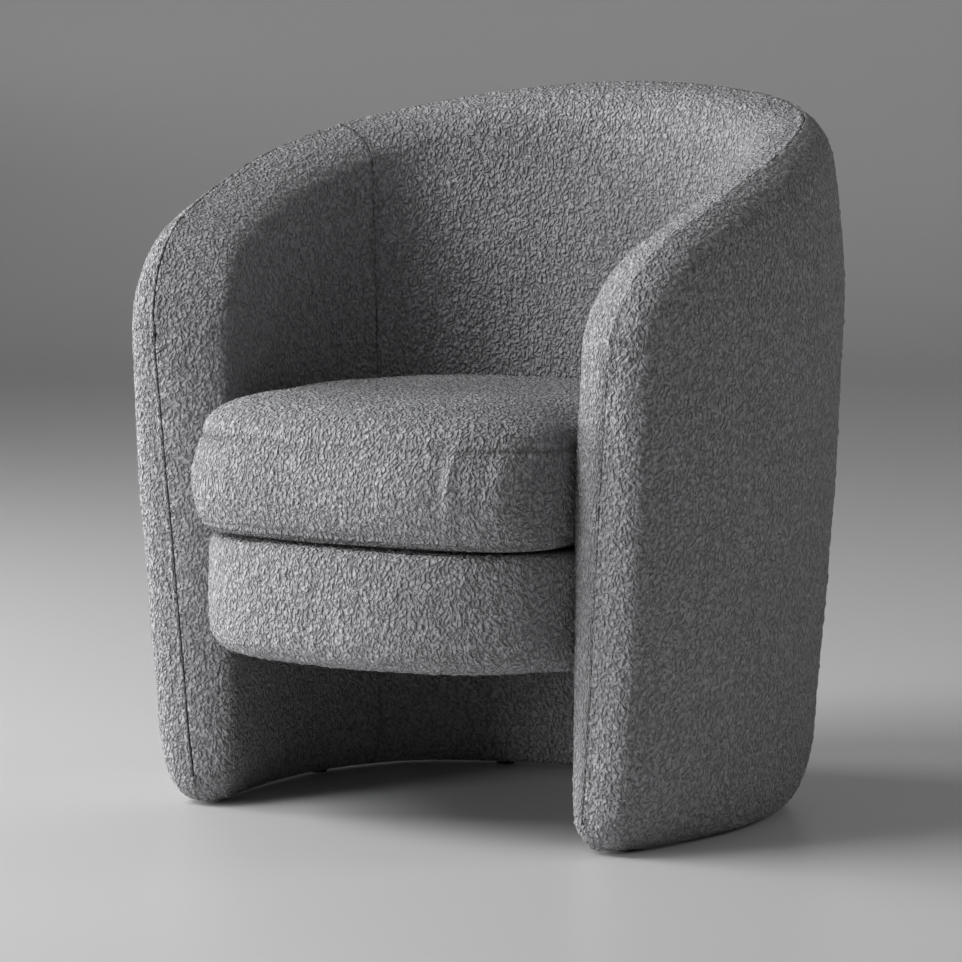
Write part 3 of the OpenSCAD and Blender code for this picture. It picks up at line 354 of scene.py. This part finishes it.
def face(z, side):
    """Offset of the outer (1) or inner (-1) face: full in the middle, drawn in at the crest and rolled
    at the foot."""
    def roll(width, height):
        """How far a quarter round of this width and height stands back at the foot."""
        return width * (1 - np.sqrt(1 - np.clip(1 - (z - GLIDE_H) / height, 0, 1) ** 2))
    if side > 0:
        below = np.clip((FULLEST_Z - z) / FULLEST_Z, 0, 1)
        above = np.clip((z - FULLEST_Z) / (CHAIR_H - FULLEST_Z), 0, 1)
        return WALL_OUT - FOOT_TUCK * below**1.4 - CREST_TUCK * above**2 - roll(*OUTER_ROLL)
    lean = np.clip((z - RECLINE_Z) / (CHAIR_H - RECLINE_Z), 0, 1)
    return -WALL_IN + RECLINE * lean + roll(*INNER_ROLL)


def seam_line(z):
    """Offset of the crest seam: a share of the way from the wall's middle to its outer face, more at the
    crest than at the foot."""
    share = SEAM_FOOT + (SEAM_CREST - SEAM_FOOT) * np.clip((z - 0.05) / 0.5, 0, 1)
    outer, inner = face(z, 1), face(z, -1)
    return (outer + inner) / 2 + share * (outer - inner) / 2


def wall_columns(step, turn_step):
    """Lengths along the wall: even steps, then a quarter round's sines so that they crowd at the arm
    front."""
    even = np.linspace(0, CORNER_S, int(round(CORNER_S / step)) + 1)[:-1]
    front = CORNER_S + CORNER_R * np.sin(np.linspace(0, math.pi / 2, int(round(90 / turn_step)) + 1))
    half = np.concatenate([even, front])
    return np.concatenate([-half[:0:-1], half])


def cover_grid(s, rows, side):
    """A grid of the wall's face and how far each point stands off the sewn edge: rows crowd at the foot
    and the crest by a cosine, after one row of hem."""
    v = 0.5 - 0.5 * np.cos(np.linspace(0, math.pi, rows))
    S, V = np.meshgrid(s, v)
    a = np.abs(S)
    z = foot(a) + V * (crest(a) - foot(a))
    edge = seam_line(z) + side * SEAM_GAP
    k = fullness(a, z)
    off = edge + (face(z, side) - edge) * k
    x, y = wall_xy(S, off)
    past = np.maximum(0, np.abs(s) - CORNER_S) / CORNER_R
    hem_s = s - np.sign(s) * past * (FOOT_R + HEM_IN)
    hem_z = np.full(len(s), GLIDE_H + HEM_UP)
    hem_k = fullness(np.abs(hem_s), hem_z)
    hem_edge = seam_line(hem_z) + side * SEAM_GAP
    hx, hy = wall_xy(hem_s, hem_edge + (face(hem_z, side) - side * HEM_W - hem_edge) * hem_k)
    grid = np.stack([x, y, z], -1)
    hem = np.stack([hx, hy, hem_z], -1)[None]
    return np.concatenate([hem, grid]), np.concatenate([(off - edge)[:1], off - edge])


def grid_normals(grid, side):
    """Unit normals of a grid from the cross product of its two directions, pointing away from the wall's
    middle."""
    du = np.gradient(grid, axis=1)
    dv = np.gradient(grid, axis=0)
    n = np.cross(du, dv) * side
    return n / np.maximum(np.linalg.norm(n, axis=-1, keepdims=True), 1e-12)


def mesh_piece(name, points, faces, mat):
    """A mesh object at the origin with its points and faces, shaded smooth."""
    mesh = bpy.data.meshes.new(name)
    mesh.from_pydata(points.reshape(-1, 3).tolist(), [], [list(f) for f in faces])
    mesh.update()
    mesh.polygons.foreach_set("use_smooth", np.full(len(mesh.polygons), True))
    mesh.materials.append(mat)
    piece = bpy.data.objects.new(name, mesh)
    bpy.context.scene.collection.objects.link(piece)
    return piece


def grid_faces(rows, cols, flip=False, closed=False):
    """Four-sided faces between neighbouring points of a grid; closed joins its last column to its
    first."""
    r = np.arange(rows - 1)[:, None] * cols
    c = np.arange(cols if closed else cols - 1)[None]
    n = (c + 1) % cols
    quads = np.stack([r + c, r + n, r + cols + n, r + cols + c], -1).reshape(-1, 4)
    return quads[:, ::-1] if flip else quads


def ring_faces(rings, start=True, flip=False):
    """Faces of stacked rings with a flat cap on the last ring, and on the first where start says so."""
    rows, n = rings.shape[:2]
    faces = grid_faces(rows, n, closed=True).tolist()
    faces += [list(range(n))[::-1]] if start else []
    faces += [list(range((rows - 1) * n, rows * n))]
    return [f[::-1] for f in faces] if flip else faces


def thicken(piece, depth):
    """Cloth thickness, added inwards with a closed rim."""
    wall = piece.modifiers.new("thickness", "SOLIDIFY")
    wall.thickness = depth
    wall.offset = -1
    wall.use_rim = True


def soft_swell(points, size, height):
    """Slow unevenness of foam under cloth: a sum of slanted waves, at most about 1.6 times the height."""
    x, y, z = points[..., 0] / size, points[..., 1] / size, points[..., 2] / size
    slow = np.sin(2.1 * x + 1.3 * z) * np.cos(1.7 * y - 0.8 * z)
    return height * (slow + 0.6 * np.sin(3.7 * z - 2.3 * x + 1.9 * y))


def nubs(shape, seed, height):
    """Uneven loops at the scale of the mesh: seeded random heights."""
    return np.random.default_rng(seed).normal(0, height, shape)


def bell(away, height, width):
    """The height on a line and near 0 past two widths beside it: the height times e to the power of minus
    the square of away over width."""
    return height * np.exp(-((away / width) ** 2))


def wall_cover(name, s, side, seed, seams=()):
    """A cover panel: the wall's face, pulled in along its sewn edges and a little uneven everywhere."""
    grid, from_edge = cover_grid(s, 170, side)
    lift = soft_swell(grid, 0.09, 0.0006) + nubs(grid.shape[:2], seed, 0.0005)
    lift -= bell(from_edge, *TIGHT_PULL) + bell(from_edge, *WIDE_PULL)
    for at in seams:
        lift -= bell(s - at, *SEAM_PULL) * np.clip((CHAIR_H - grid[..., 2]) / 0.08, 0.3, 1)
    lift[:2] = 0
    grid = grid + grid_normals(grid, side) * lift[..., None]
    grid[..., 2] = np.maximum(grid[..., 2], GLIDE_H)
    piece = mesh_piece(name, grid, grid_faces(*grid.shape[:2], flip=side < 0), boucle)
    thicken(piece, CLOTH_T)
    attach(piece, "chair")
    return piece


columns = wall_columns(0.0046, 2.2)
outside = wall_cover("outside_boucle", columns, 1, 11)
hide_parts("outside_cover")

# Inside back and inside arm covers
# Three boucle panels over thick foam. They are sewn together in two upright seams where back and arm meet,
# roll over the crest and the arm fronts, and meet the outside cover in the crest seam.
INSIDE_SEAM = 0.331


def inside_columns(first, last):
    """Columns of one inside panel, with its two ends exactly on the seams."""
    inner = columns[(columns > first + 0.002) & (columns < last - 0.002)]
    return np.concatenate([[first], inner, [last]])


back_end, arm_end = INSIDE_SEAM - SEAM_GAP, INSIDE_SEAM + SEAM_GAP
back_panel = wall_cover("inside_back_boucle", inside_columns(-back_end, back_end), -1, 12,
                        (-INSIDE_SEAM, INSIDE_SEAM))
arm_left = wall_cover("inside_arm_boucle_left", inside_columns(-WALL_LEN, -arm_end), -1, 13,
                      (-INSIDE_SEAM,))
arm_right = wall_cover("inside_arm_boucle_right", inside_columns(arm_end, WALL_LEN), -1, 14,
                       (INSIDE_SEAM,))
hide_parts("inside_back_cover")
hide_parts("inside_arm_cover_left")
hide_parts("inside_arm_cover_right")

# Crest seam
# Where outside and inside covers meet, the allowances are turned to one side and stitched down, so a flat
# strip about 5 mm wide runs up one arm front, along the crest and down the other.
STRIP_W, STRIP_H, STRIP_SUNK = 0.0052, 0.0022, 0.0006
FRONT_STEPS = 120


def ridge_path():
    """Points along the wall's edge from foot to foot, with two directions at each: across the wall, and
    out of the edge as the cross product of along and across."""
    turn = np.radians(np.linspace(25, 90, 12)[:-1])
    up = np.concatenate([GLIDE_H + FOOT_R * (1 - np.cos(turn)),
                         np.linspace(GLIDE_H + FOOT_R, crest(WALL_LEN - 1e-6), FRONT_STEPS)])
    front = np.concatenate([FOOT_S + FOOT_R * np.sin(turn), np.full(FRONT_STEPS, WALL_LEN)])
    s = columns[1:-1]
    x0, y0 = wall_xy(-front, seam_line(up))
    x1, y1 = wall_xy(s, seam_line(crest(np.abs(s))))
    left = np.stack([x0, y0, up], -1)
    top = np.stack([x1, y1, crest(np.abs(s))], -1)
    right = left[::-1] * [-1, 1, 1]
    path = np.concatenate([left, top, right])
    along = np.gradient(path, axis=0)
    along /= np.linalg.norm(along, axis=1, keepdims=True)
    where = np.concatenate([-front, s, front[::-1]])
    x2, y2 = wall_xy(where, seam_line(path[:, 2]) + 0.001)
    across = np.stack([x2 - path[:, 0], y2 - path[:, 1], np.zeros(len(path))], -1)
    across -= along * (across * along).sum(1, keepdims=True)
    across /= np.linalg.norm(across, axis=1, keepdims=True)
    return path, across, np.cross(along, across)


def strip_rings():
    """A flattened oval carried along the ridge: width across the wall, height outwards, closed at both
    ends."""
    path, across, out = ridge_path()
    t = np.linspace(0, math.tau, 13)[:-1]
    wide = STRIP_W / 2 * np.sign(np.cos(t)) * np.abs(np.cos(t)) ** 0.7
    high = STRIP_H / 2 * np.sign(np.sin(t)) * np.abs(np.sin(t)) ** 0.8 - STRIP_SUNK
    rings = path[:, None] + across[:, None] * wide[:, None] + out[:, None] * high[:, None]
    return rings + out[:, None] * nubs(rings.shape[:2], 15, 0.00022)[..., None]


rings = strip_rings()
seam_strip = mesh_piece("crest_seam_boucle", rings, ring_faces(rings), boucle)
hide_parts("crest_seam")
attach(seam_strip, "chair")

# Seat deck
# The sprung seat frame wears its own boucle cover, rolled under the front edge and stapled behind. Its round
# nose stands out between the arms.
DECK_Z, DECK_TOP = 0.174, 0.291
DECK_LOW_R, DECK_TOP_R = 0.027, 0.009
DECK_W, DECK_NOSE, DECK_POWER, DECK_CLEAR = 0.232, 0.3, 2.95, 0.0006
DECK_HEM = ((0.017, 0.0008), (0.008, 0.0002))
SWELL_SHARE = 0.43
NECK_S = WALL_LEN - 0.0206
NECK_Y = wall_xy(np.array([WALL_LEN]), np.array([0.0]))[1][0] - 0.009


def seat_outline(count, wall_off, width, depth, mid_y, power, deep=0.0, swell=0.0, side_draw=None):
    """Closed outline from even steps along one half, which is mirrored: the wall's inner face, then a
    superellipse round the nose, with each point of the nose moved inwards, square to the curve, by deep."""
    s = np.linspace(0, NECK_S - 0.002, 60)
    off = wall_off if side_draw is None else wall_off - side_draw(s)
    wx, wy = wall_xy(s, off)
    start = math.asin(np.clip((mid_y - NECK_Y) / depth, 0, 1) ** (power / 2))
    t = np.linspace(start, math.pi / 2, 60)
    share = np.clip((t - start) / (math.pi / 2 - start) / SWELL_SHARE, 0, 1)
    grow = swell * np.sin(share * math.pi / 2)
    c, e = np.maximum(0, np.cos(t)), 2 - 2 / power
    n = np.stack([c**e / (width + grow), -np.sin(t) ** e / (depth + grow)])
    n /= np.linalg.norm(n, axis=0)
    nx = (width + grow) * c ** (2 / power) - deep * n[0]
    ny = mid_y - (depth + grow) * np.sin(t) ** (2 / power) - deep * n[1]
    x, y = np.concatenate([wx, nx]), np.concatenate([wy, ny])
    run = np.concatenate([[0], np.cumsum(np.hypot(np.diff(x), np.diff(y)))])
    even = np.linspace(0, run[-1], count)
    x, y = np.interp(even, run, x), np.interp(even, run, y)
    for _ in range(3):
        x[1:-1] = x[1:-1] / 2 + (x[:-2] + x[2:]) / 4
        y[1:-1] = y[1:-1] / 2 + (y[:-2] + y[2:]) / 4
    return np.concatenate([-x, x[-2:0:-1]]), np.concatenate([y, y[-2:0:-1]])


def deck_ring(count, side_deep, deep, z):
    """One closed ring of the deck at height z, at two depths inside its outline: along the wall and
    round the nose."""
    x, y = seat_outline(count, -WALL_IN - DECK_CLEAR - side_deep, DECK_W, DECK_NOSE,
                        DECK_NOSE - CHAIR_D / 2, DECK_POWER, deep)
    return np.stack([x, y, np.full(len(x), z)], -1)


def deck_rings(count):
    """Rings from the turned-under edge, over the lower quarter round, up the band, over the top quarter
    round and level to the middle."""
    rings = [deck_ring(count, turned, DECK_LOW_R + turned, DECK_Z + up) for turned, up in DECK_HEM]
    for t in np.linspace(0, math.pi / 2, 12):
        rings.append(deck_ring(count, 0, DECK_LOW_R * (1 - math.sin(t)),
                               DECK_Z + DECK_LOW_R * (1 - math.cos(t))))
    for z in np.linspace(DECK_Z + DECK_LOW_R, DECK_TOP - DECK_TOP_R, 13)[1:-1]:
        rings.append(deck_ring(count, 0, 0, z))
    for t in np.linspace(0, math.pi / 2, 6):
        d = DECK_TOP_R * (1 - math.cos(t))
        rings.append(deck_ring(count, d, d, DECK_TOP - DECK_TOP_R * (1 - math.sin(t))))
    rim = rings[-1]
    middle = np.array([0, rim[:, 1].mean(), DECK_TOP])
    for share in np.linspace(1, 0.06, 30)[1:]:
        rings.append(middle + (rim - middle) * [share, share, 1])
    return np.array(rings)


def ring_normals(rings):
    """Unit normals of closed rings stacked upwards and inwards, pointing out of the piece."""
    du = (np.roll(rings, -1, 1) - np.roll(rings, 1, 1)) / 2
    dv = np.gradient(rings, axis=0)
    n = np.cross(du, dv)
    return n / np.maximum(np.linalg.norm(n, axis=-1, keepdims=True), 1e-12)


rings = deck_rings(150)
belly = np.sin(np.clip((rings[..., 2] - DECK_Z) / (DECK_TOP - DECK_Z), 0, 1) * math.pi)
front = np.clip((NECK_Y + 0.02 - rings[..., 1]) / 0.03, 0, 1)
lift = (soft_swell(rings, 0.08, 0.0005) + 0.003 * belly + nubs(rings.shape[:2], 21, 0.0006)) * front
lift[:2] = 0
rings = rings + ring_normals(rings) * lift[..., None]
deck = mesh_piece("seat_deck_boucle", rings, ring_faces(rings, start=False), boucle)
thicken(deck, CLOTH_T)
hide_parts("deck_cover")
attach(deck, "chair")

# Dust cover
# Black cambric stapled under the seat frame; it hangs a few millimetres between its edges.
STAPLE_Z, SAG, CAMBRIC_T = DECK_Z + 0.0037, 0.003, 0.0006
rim = deck_ring(90, 0.0036, 0.0275, STAPLE_Z)
x, y = rim[:, 0], rim[:, 1]
middle = np.array([0, y.mean(), STAPLE_Z])
shares = np.linspace(1, 0.05, 18)
sheet = np.array([middle + (rim - middle) * [h, h, 1] - [0, 0, SAG * (1 - h**2)] for h in shares])
cambric = mesh_piece("dust_cambric", sheet, ring_faces(sheet, start=False, flip=True),
                     plain_weave("black_cambric", BLACK_LIGHT, BLACK_DARK, 4200.0))
thicken(cambric, CAMBRIC_T)
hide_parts("dust_cover")
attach(cambric, "chair")

# Seat cushion
# A foam block in fibre wadding, in a boucle case of top, boxing and bottom. The case is sewn plain, the top
# is crowned, the boxing swells at the nose and the bottom lies flat on the deck.
SEAT_Z = DECK_TOP + 0.0003
LIP_H, CROWN_H = 0.009, 0.0436
SEAM_LOW, SEAM_TOP = SEAT_Z + LIP_H, SEAT_Z + 0.1
NOSE_W, NOSE_D, NOSE_BACK, NOSE_POWER = 0.225, 0.204, 0.013, 3.4
CASE_CLEAR, CASE_SWELL = 0.0045, 0.013
ZIP_DRAW, ZIP_Y = 0.006, 0.14
PINNED, PUFF_TOP, PUFF_SIDE, PUFF_STEPS = 0.005, 0.0004, 0.0018, 20
MOST_IN = 0.002
CREASES = ((-0.134, 0.006, 0.001, 1.5), (0.132, 0.006, 0.002, 2.2), (0.172, 0.0065, 0.0018, 1))
CREASE_Z, CREASE_TALL = 0.366, 0.032


def cushion_ring(count, deep, swell, draw, z):
    """One closed ring of the cushion at height z: clear of the wall, swollen at the nose, drawn in at the
    back round the zip."""
    def drawn(s):
        """The draw along the back, which fades out evenly over half of the corner arc."""
        return draw * np.clip(((ARC_S[1] + ARC_S[2]) / 2 - s) / (ARC_R[1] * ARC_TURN[1] / 2), 0, 1)
    x, y = seat_outline(count, -WALL_IN - CASE_CLEAR - deep, NOSE_W, NOSE_D,
                        NOSE_BACK + NOSE_D - CHAIR_D / 2, NOSE_POWER, deep, swell, drawn)
    return np.stack([x, y, np.full(len(x), z)], -1)


def cushion_rings(count):
    """Rings from the middle of the bottom, out to the lower seam, up the boxing and over the crown. Lip
    and crown rise as the square root of 1 minus a power of the share: 3.2 for the lip, 7 for the crown."""
    rings = []
    middle = np.array([0, (BACK_Y - WALL_IN - 0.004 - CHAIR_D / 2 + NOSE_BACK) / 2, 0])
    def inward(ring, share):
        """The ring drawn level towards the middle to a share of its size."""
        return middle + (ring - middle) * [share, share, 1]
    for c in (0.05, 0.3, 0.6, 0.85, 0.93, 0.965):
        drop = LIP_H * min(1, ((1 - c**3.2) / (1 - 0.85**3.2)) ** 0.5)
        rings.append(inward(cushion_ring(count, 0, 0, 0, SEAM_LOW - drop), c))
    for r in np.linspace(0, 1, 13):
        rings.append(cushion_ring(count, 0, CASE_SWELL * math.sin(math.pi * r),
                                  ZIP_DRAW * min(1, max(0, 3 * math.sin(math.pi * r) - 0.6)),
                                  SEAM_LOW + r * (SEAM_TOP - SEAM_LOW)))
    for c in (0.985, 0.96, 0.92, 0.86, 0.78, 0.66, 0.5, 0.32, 0.12, 0.03):
        rings.append(inward(cushion_ring(count, 0, 0, 0, SEAM_TOP + CROWN_H * (1 - c**7) ** 0.5), c))
    return np.array(rings)


def run_modifier(piece, kind, **settings):
    """Adds a modifier with its settings and applies it to the mesh."""
    step = piece.modifiers.new(kind.lower(), kind)
    for key, value in settings.items():
        setattr(step, key, value)
    bpy.context.view_layer.objects.active = piece
    bpy.ops.object.modifier_apply(modifier=step.name)


def coords(piece):
    """The mesh's points as an array."""
    out = np.empty(len(piece.data.vertices) * 3)
    piece.data.vertices.foreach_get("co", out)
    return out.reshape(-1, 3)


def set_coords(piece, points):
    """Moves the mesh's points to those of an array."""
    piece.data.vertices.foreach_set("co", points.reshape(-1))
    piece.data.update()


def normals(piece):
    """Unit normals at the mesh's points."""
    out = np.empty(len(piece.data.vertices) * 3)
    piece.data.vertices.foreach_get("normal", out)
    return out.reshape(-1, 3)


rings = cushion_rings(120)
seamed = boucle_cloth("boucle_seamed", ((SEAM_TOP, 0.25), (SEAM_LOW, 0.7)))
cushion = mesh_piece("seat_cushion_boucle", rings, ring_faces(rings), seamed)
run_modifier(cushion, "REMESH", mode="VOXEL", voxel_size=0.0055)
seam_plan = cushion_ring(400, 0, 0, 0, 0)[:, :2]


def seam_distance(points):
    """Distance from each point to the nearest of the two boxing seams, and whether that is the lower one.
    Both have the same outline, so the distance in plan is found once, for about 4000 points at a time,
    and joined with the difference in height as the root of the sum of squares."""
    blocks = np.array_split(points[:, None, :2], len(points) // 4000 + 1)
    plan = np.concatenate([((block - seam_plan) ** 2).sum(-1).min(1) for block in blocks])
    below, above = np.abs(points[:, 2] - SEAM_LOW), np.abs(points[:, 2] - SEAM_TOP)
    return np.sqrt(plan + np.minimum(below, above) ** 2), below < above


def puff(piece):
    """Air pressure blows the case up between its seams, the zip and the deck, which hold. Only the
    movement out of the surface is kept, and it is capped, on the crown at less than on the boxing."""
    start, out = coords(piece), normals(piece)
    hold = piece.vertex_groups.new(name="sewn")
    near = seam_distance(start)[0]
    fixed = (near < PINNED) | (start[:, 2] < SEAT_Z + 0.0035) | (start[:, 1] > ZIP_Y)
    hold.add(np.nonzero(fixed)[0].tolist(), 1.0, "REPLACE")
    cloth = piece.modifiers.new("case", "CLOTH")
    cloth.settings.quality = 6
    cloth.settings.mass = 0.25
    cloth.settings.tension_stiffness = 12
    cloth.settings.compression_stiffness = 12
    cloth.settings.bending_stiffness = 1.5
    cloth.settings.use_pressure = True
    cloth.settings.uniform_pressure_force = 4
    cloth.settings.vertex_group_mass = "sewn"
    cloth.settings.effector_weights.gravity = 0
    cloth.collision_settings.use_collision = False
    scene = bpy.context.scene
    scene.frame_start, scene.frame_end = 1, PUFF_STEPS
    for step in range(1, PUFF_STEPS + 1):
        scene.frame_set(step)
    shown = piece.evaluated_get(bpy.context.evaluated_depsgraph_get())
    end = np.empty(len(start) * 3)
    shown.data.vertices.foreach_get("co", end)
    piece.modifiers.remove(cloth)
    scene.frame_set(1)
    move = ((end.reshape(-1, 3) - start) * out).sum(1)
    cap = np.where(out[:, 2] > 0.9, PUFF_TOP, PUFF_SIDE)
    set_coords(piece, start + out * np.clip(move, 0, cap)[:, None])


puff(cushion)
run_modifier(cushion, "SUBSURF", levels=1, render_levels=1)
points = coords(cushion)
near, low = seam_distance(points)
out = normals(cushion)
calm = np.clip((points[:, 2] - SEAT_Z - 0.002) / 0.004, 0, 1)
calm = calm * np.clip((ZIP_Y - points[:, 1]) / 0.02, 0, 1)
lift = (soft_swell(points, 0.07, 0.0009) + nubs(len(points), 31, 0.0004)) * calm
fade = np.clip(0.8 - points[:, 0] / 0.25, 0.5, 1)
top_crease = -bell(near, 0.0018, 0.0026) * fade
low_ridge = bell(near, 0.0014, 0.0022) - bell(near - 0.0052, 0.0014, 0.0024)
lift += np.where(low, low_ridge, top_crease)
tall = bell(points[:, 2] - CREASE_Z, 1, CREASE_TALL) * (points[:, 1] < NECK_Y)
for at_x, wide, deep, ridge in CREASES:
    across = (points[:, 0] - at_x) / wide
    lift -= (bell(across, deep, 1) - bell(across - 1.9, deep * ridge, 1)) * tall
points = points + out * np.maximum(lift, -MOST_IN)[:, None]
points[:, 2] = np.maximum(points[:, 2], SEAT_Z)
set_coords(cushion, points)
cushion.data.polygons.foreach_set("use_smooth", np.full(len(cushion.data.polygons), True))
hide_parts("cushion_top_panel", "cushion_boxing", "cushion_bottom_panel")
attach(cushion, "seat_cushion")

# Cushion seams
# The two boxing seams: a thin roll of turned-in cloth that sits in the crease.
ROLL_R, ROLL_IN, ROLL_SIDES = 0.0009, 0.0026, 8
rolls = []
for z in (SEAM_LOW, SEAM_TOP):
    for turn in np.linspace(0, math.tau, ROLL_SIDES + 1)[:-1]:
        rolls.append(cushion_ring(140, ROLL_IN - ROLL_R * math.cos(turn), 0, 0,
                                  z + ROLL_R * math.sin(turn)))
rolls = np.array(rolls)
n = rolls.shape[1]
here = np.arange(n)
after = (here + 1) % n
last = (ROLL_SIDES - 1) * n
joint = np.stack([last + here, last + after, after, here], -1)
one = np.concatenate([grid_faces(ROLL_SIDES, n, closed=True), joint])
faces = np.concatenate([one, one + ROLL_SIDES * n])
seam_cord = mesh_piece("cushion_seam_boucle", rolls, faces, boucle)
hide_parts("cushion_seams")
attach(seam_cord, "seat_cushion")

# Floor, light and camera
# A plain pale floor that runs up into a backdrop far behind, so that no view of the chair is cut off. Large
# soft lights stand to the left of the front and a weak one behind.
FLOOR = (0.7, 0.7, 0.7, 1)
LIGHT_AWAY, LIGHT_Z, WORLD_POWER = 4.0, 0.35, 0.1
AZ, PITCH, DIST, FOCAL_PX = 0.6031, 0.09577, 4.41322, 4078.95
AIM_LEFT, AIM_Z, SHIFT_PX, PICTURE_PX, SENSOR_W = 0.16509, 0.31246, 1.27, 962, 36
run = np.array([-9.0, 6.2, 6.6, 6.95, 7.2, 7.35, 7.4, 7.4])
rise = np.array([0, 0, 0.02, 0.1, 0.28, 0.55, 1.0, 6.0])
side = np.linspace(-9, 9, 3)
g = np.stack(np.broadcast_arrays(side[None, :], run[:, None], rise[:, None]), -1)
floor_pts = np.stack([g[..., 0] * math.cos(AZ) - g[..., 1] * math.sin(AZ),
                      g[..., 0] * math.sin(AZ) + g[..., 1] * math.cos(AZ), g[..., 2]], -1)
floor_mat, _, floor_skin = new_material("studio_floor", 0.35)
floor_skin.inputs["Base Color"].default_value = FLOOR
floor = mesh_piece("studio_floor", floor_pts, grid_faces(*floor_pts.shape[:2]), floor_mat)


def soft_light(name, turn, rise, size, power):
    """A square area light 4 m from the chair, at angles in degrees round to the left of its front and
    up."""
    turn, rise = math.radians(turn), math.radians(rise)
    lamp = bpy.data.lights.new(name, "AREA")
    lamp.size = size
    lamp.energy = power
    holder = bpy.data.objects.new(name, lamp)
    away = Vector((-math.sin(turn) * math.cos(rise), -math.cos(turn) * math.cos(rise), math.sin(rise)))
    holder.location = away * LIGHT_AWAY + Vector((0, 0, LIGHT_Z))
    holder.rotation_euler = away.to_track_quat("Z", "Y").to_euler()
    bpy.context.scene.collection.objects.link(holder)


soft_light("key", 37, 46, 2.0, 98)
soft_light("front", 24, 8, 1.3, 48)
soft_light("side", 74, 9, 1.3, 150)
soft_light("back", -125, 25, 1.5, 20)
world = bpy.data.worlds.new("studio")
world.use_nodes = True
sky = world.node_tree.nodes["Background"]
sky.inputs["Color"].default_value = (1, 1, 1, 1)
sky.inputs["Strength"].default_value = WORLD_POWER
bpy.context.scene.world = world

look = Vector((-math.sin(AZ) * math.cos(PITCH), math.cos(AZ) * math.cos(PITCH), -math.sin(PITCH)))
aim = Vector((-AIM_LEFT * math.cos(AZ), -AIM_LEFT * math.sin(AZ) + BACK_Y, AIM_Z))
lens = bpy.data.cameras.new("photo_view")
lens.sensor_width = SENSOR_W
lens.lens = FOCAL_PX * SENSOR_W / PICTURE_PX
lens.shift_y = SHIFT_PX / PICTURE_PX
camera = bpy.data.objects.new("photo_view", lens)
camera.location = aim - look * DIST
camera.rotation_euler = look.to_track_quat("-Z", "Y").to_euler()
bpy.context.scene.collection.objects.link(camera)
bpy.context.scene.camera = camera
bpy.context.scene.view_settings.view_transform = "Standard"
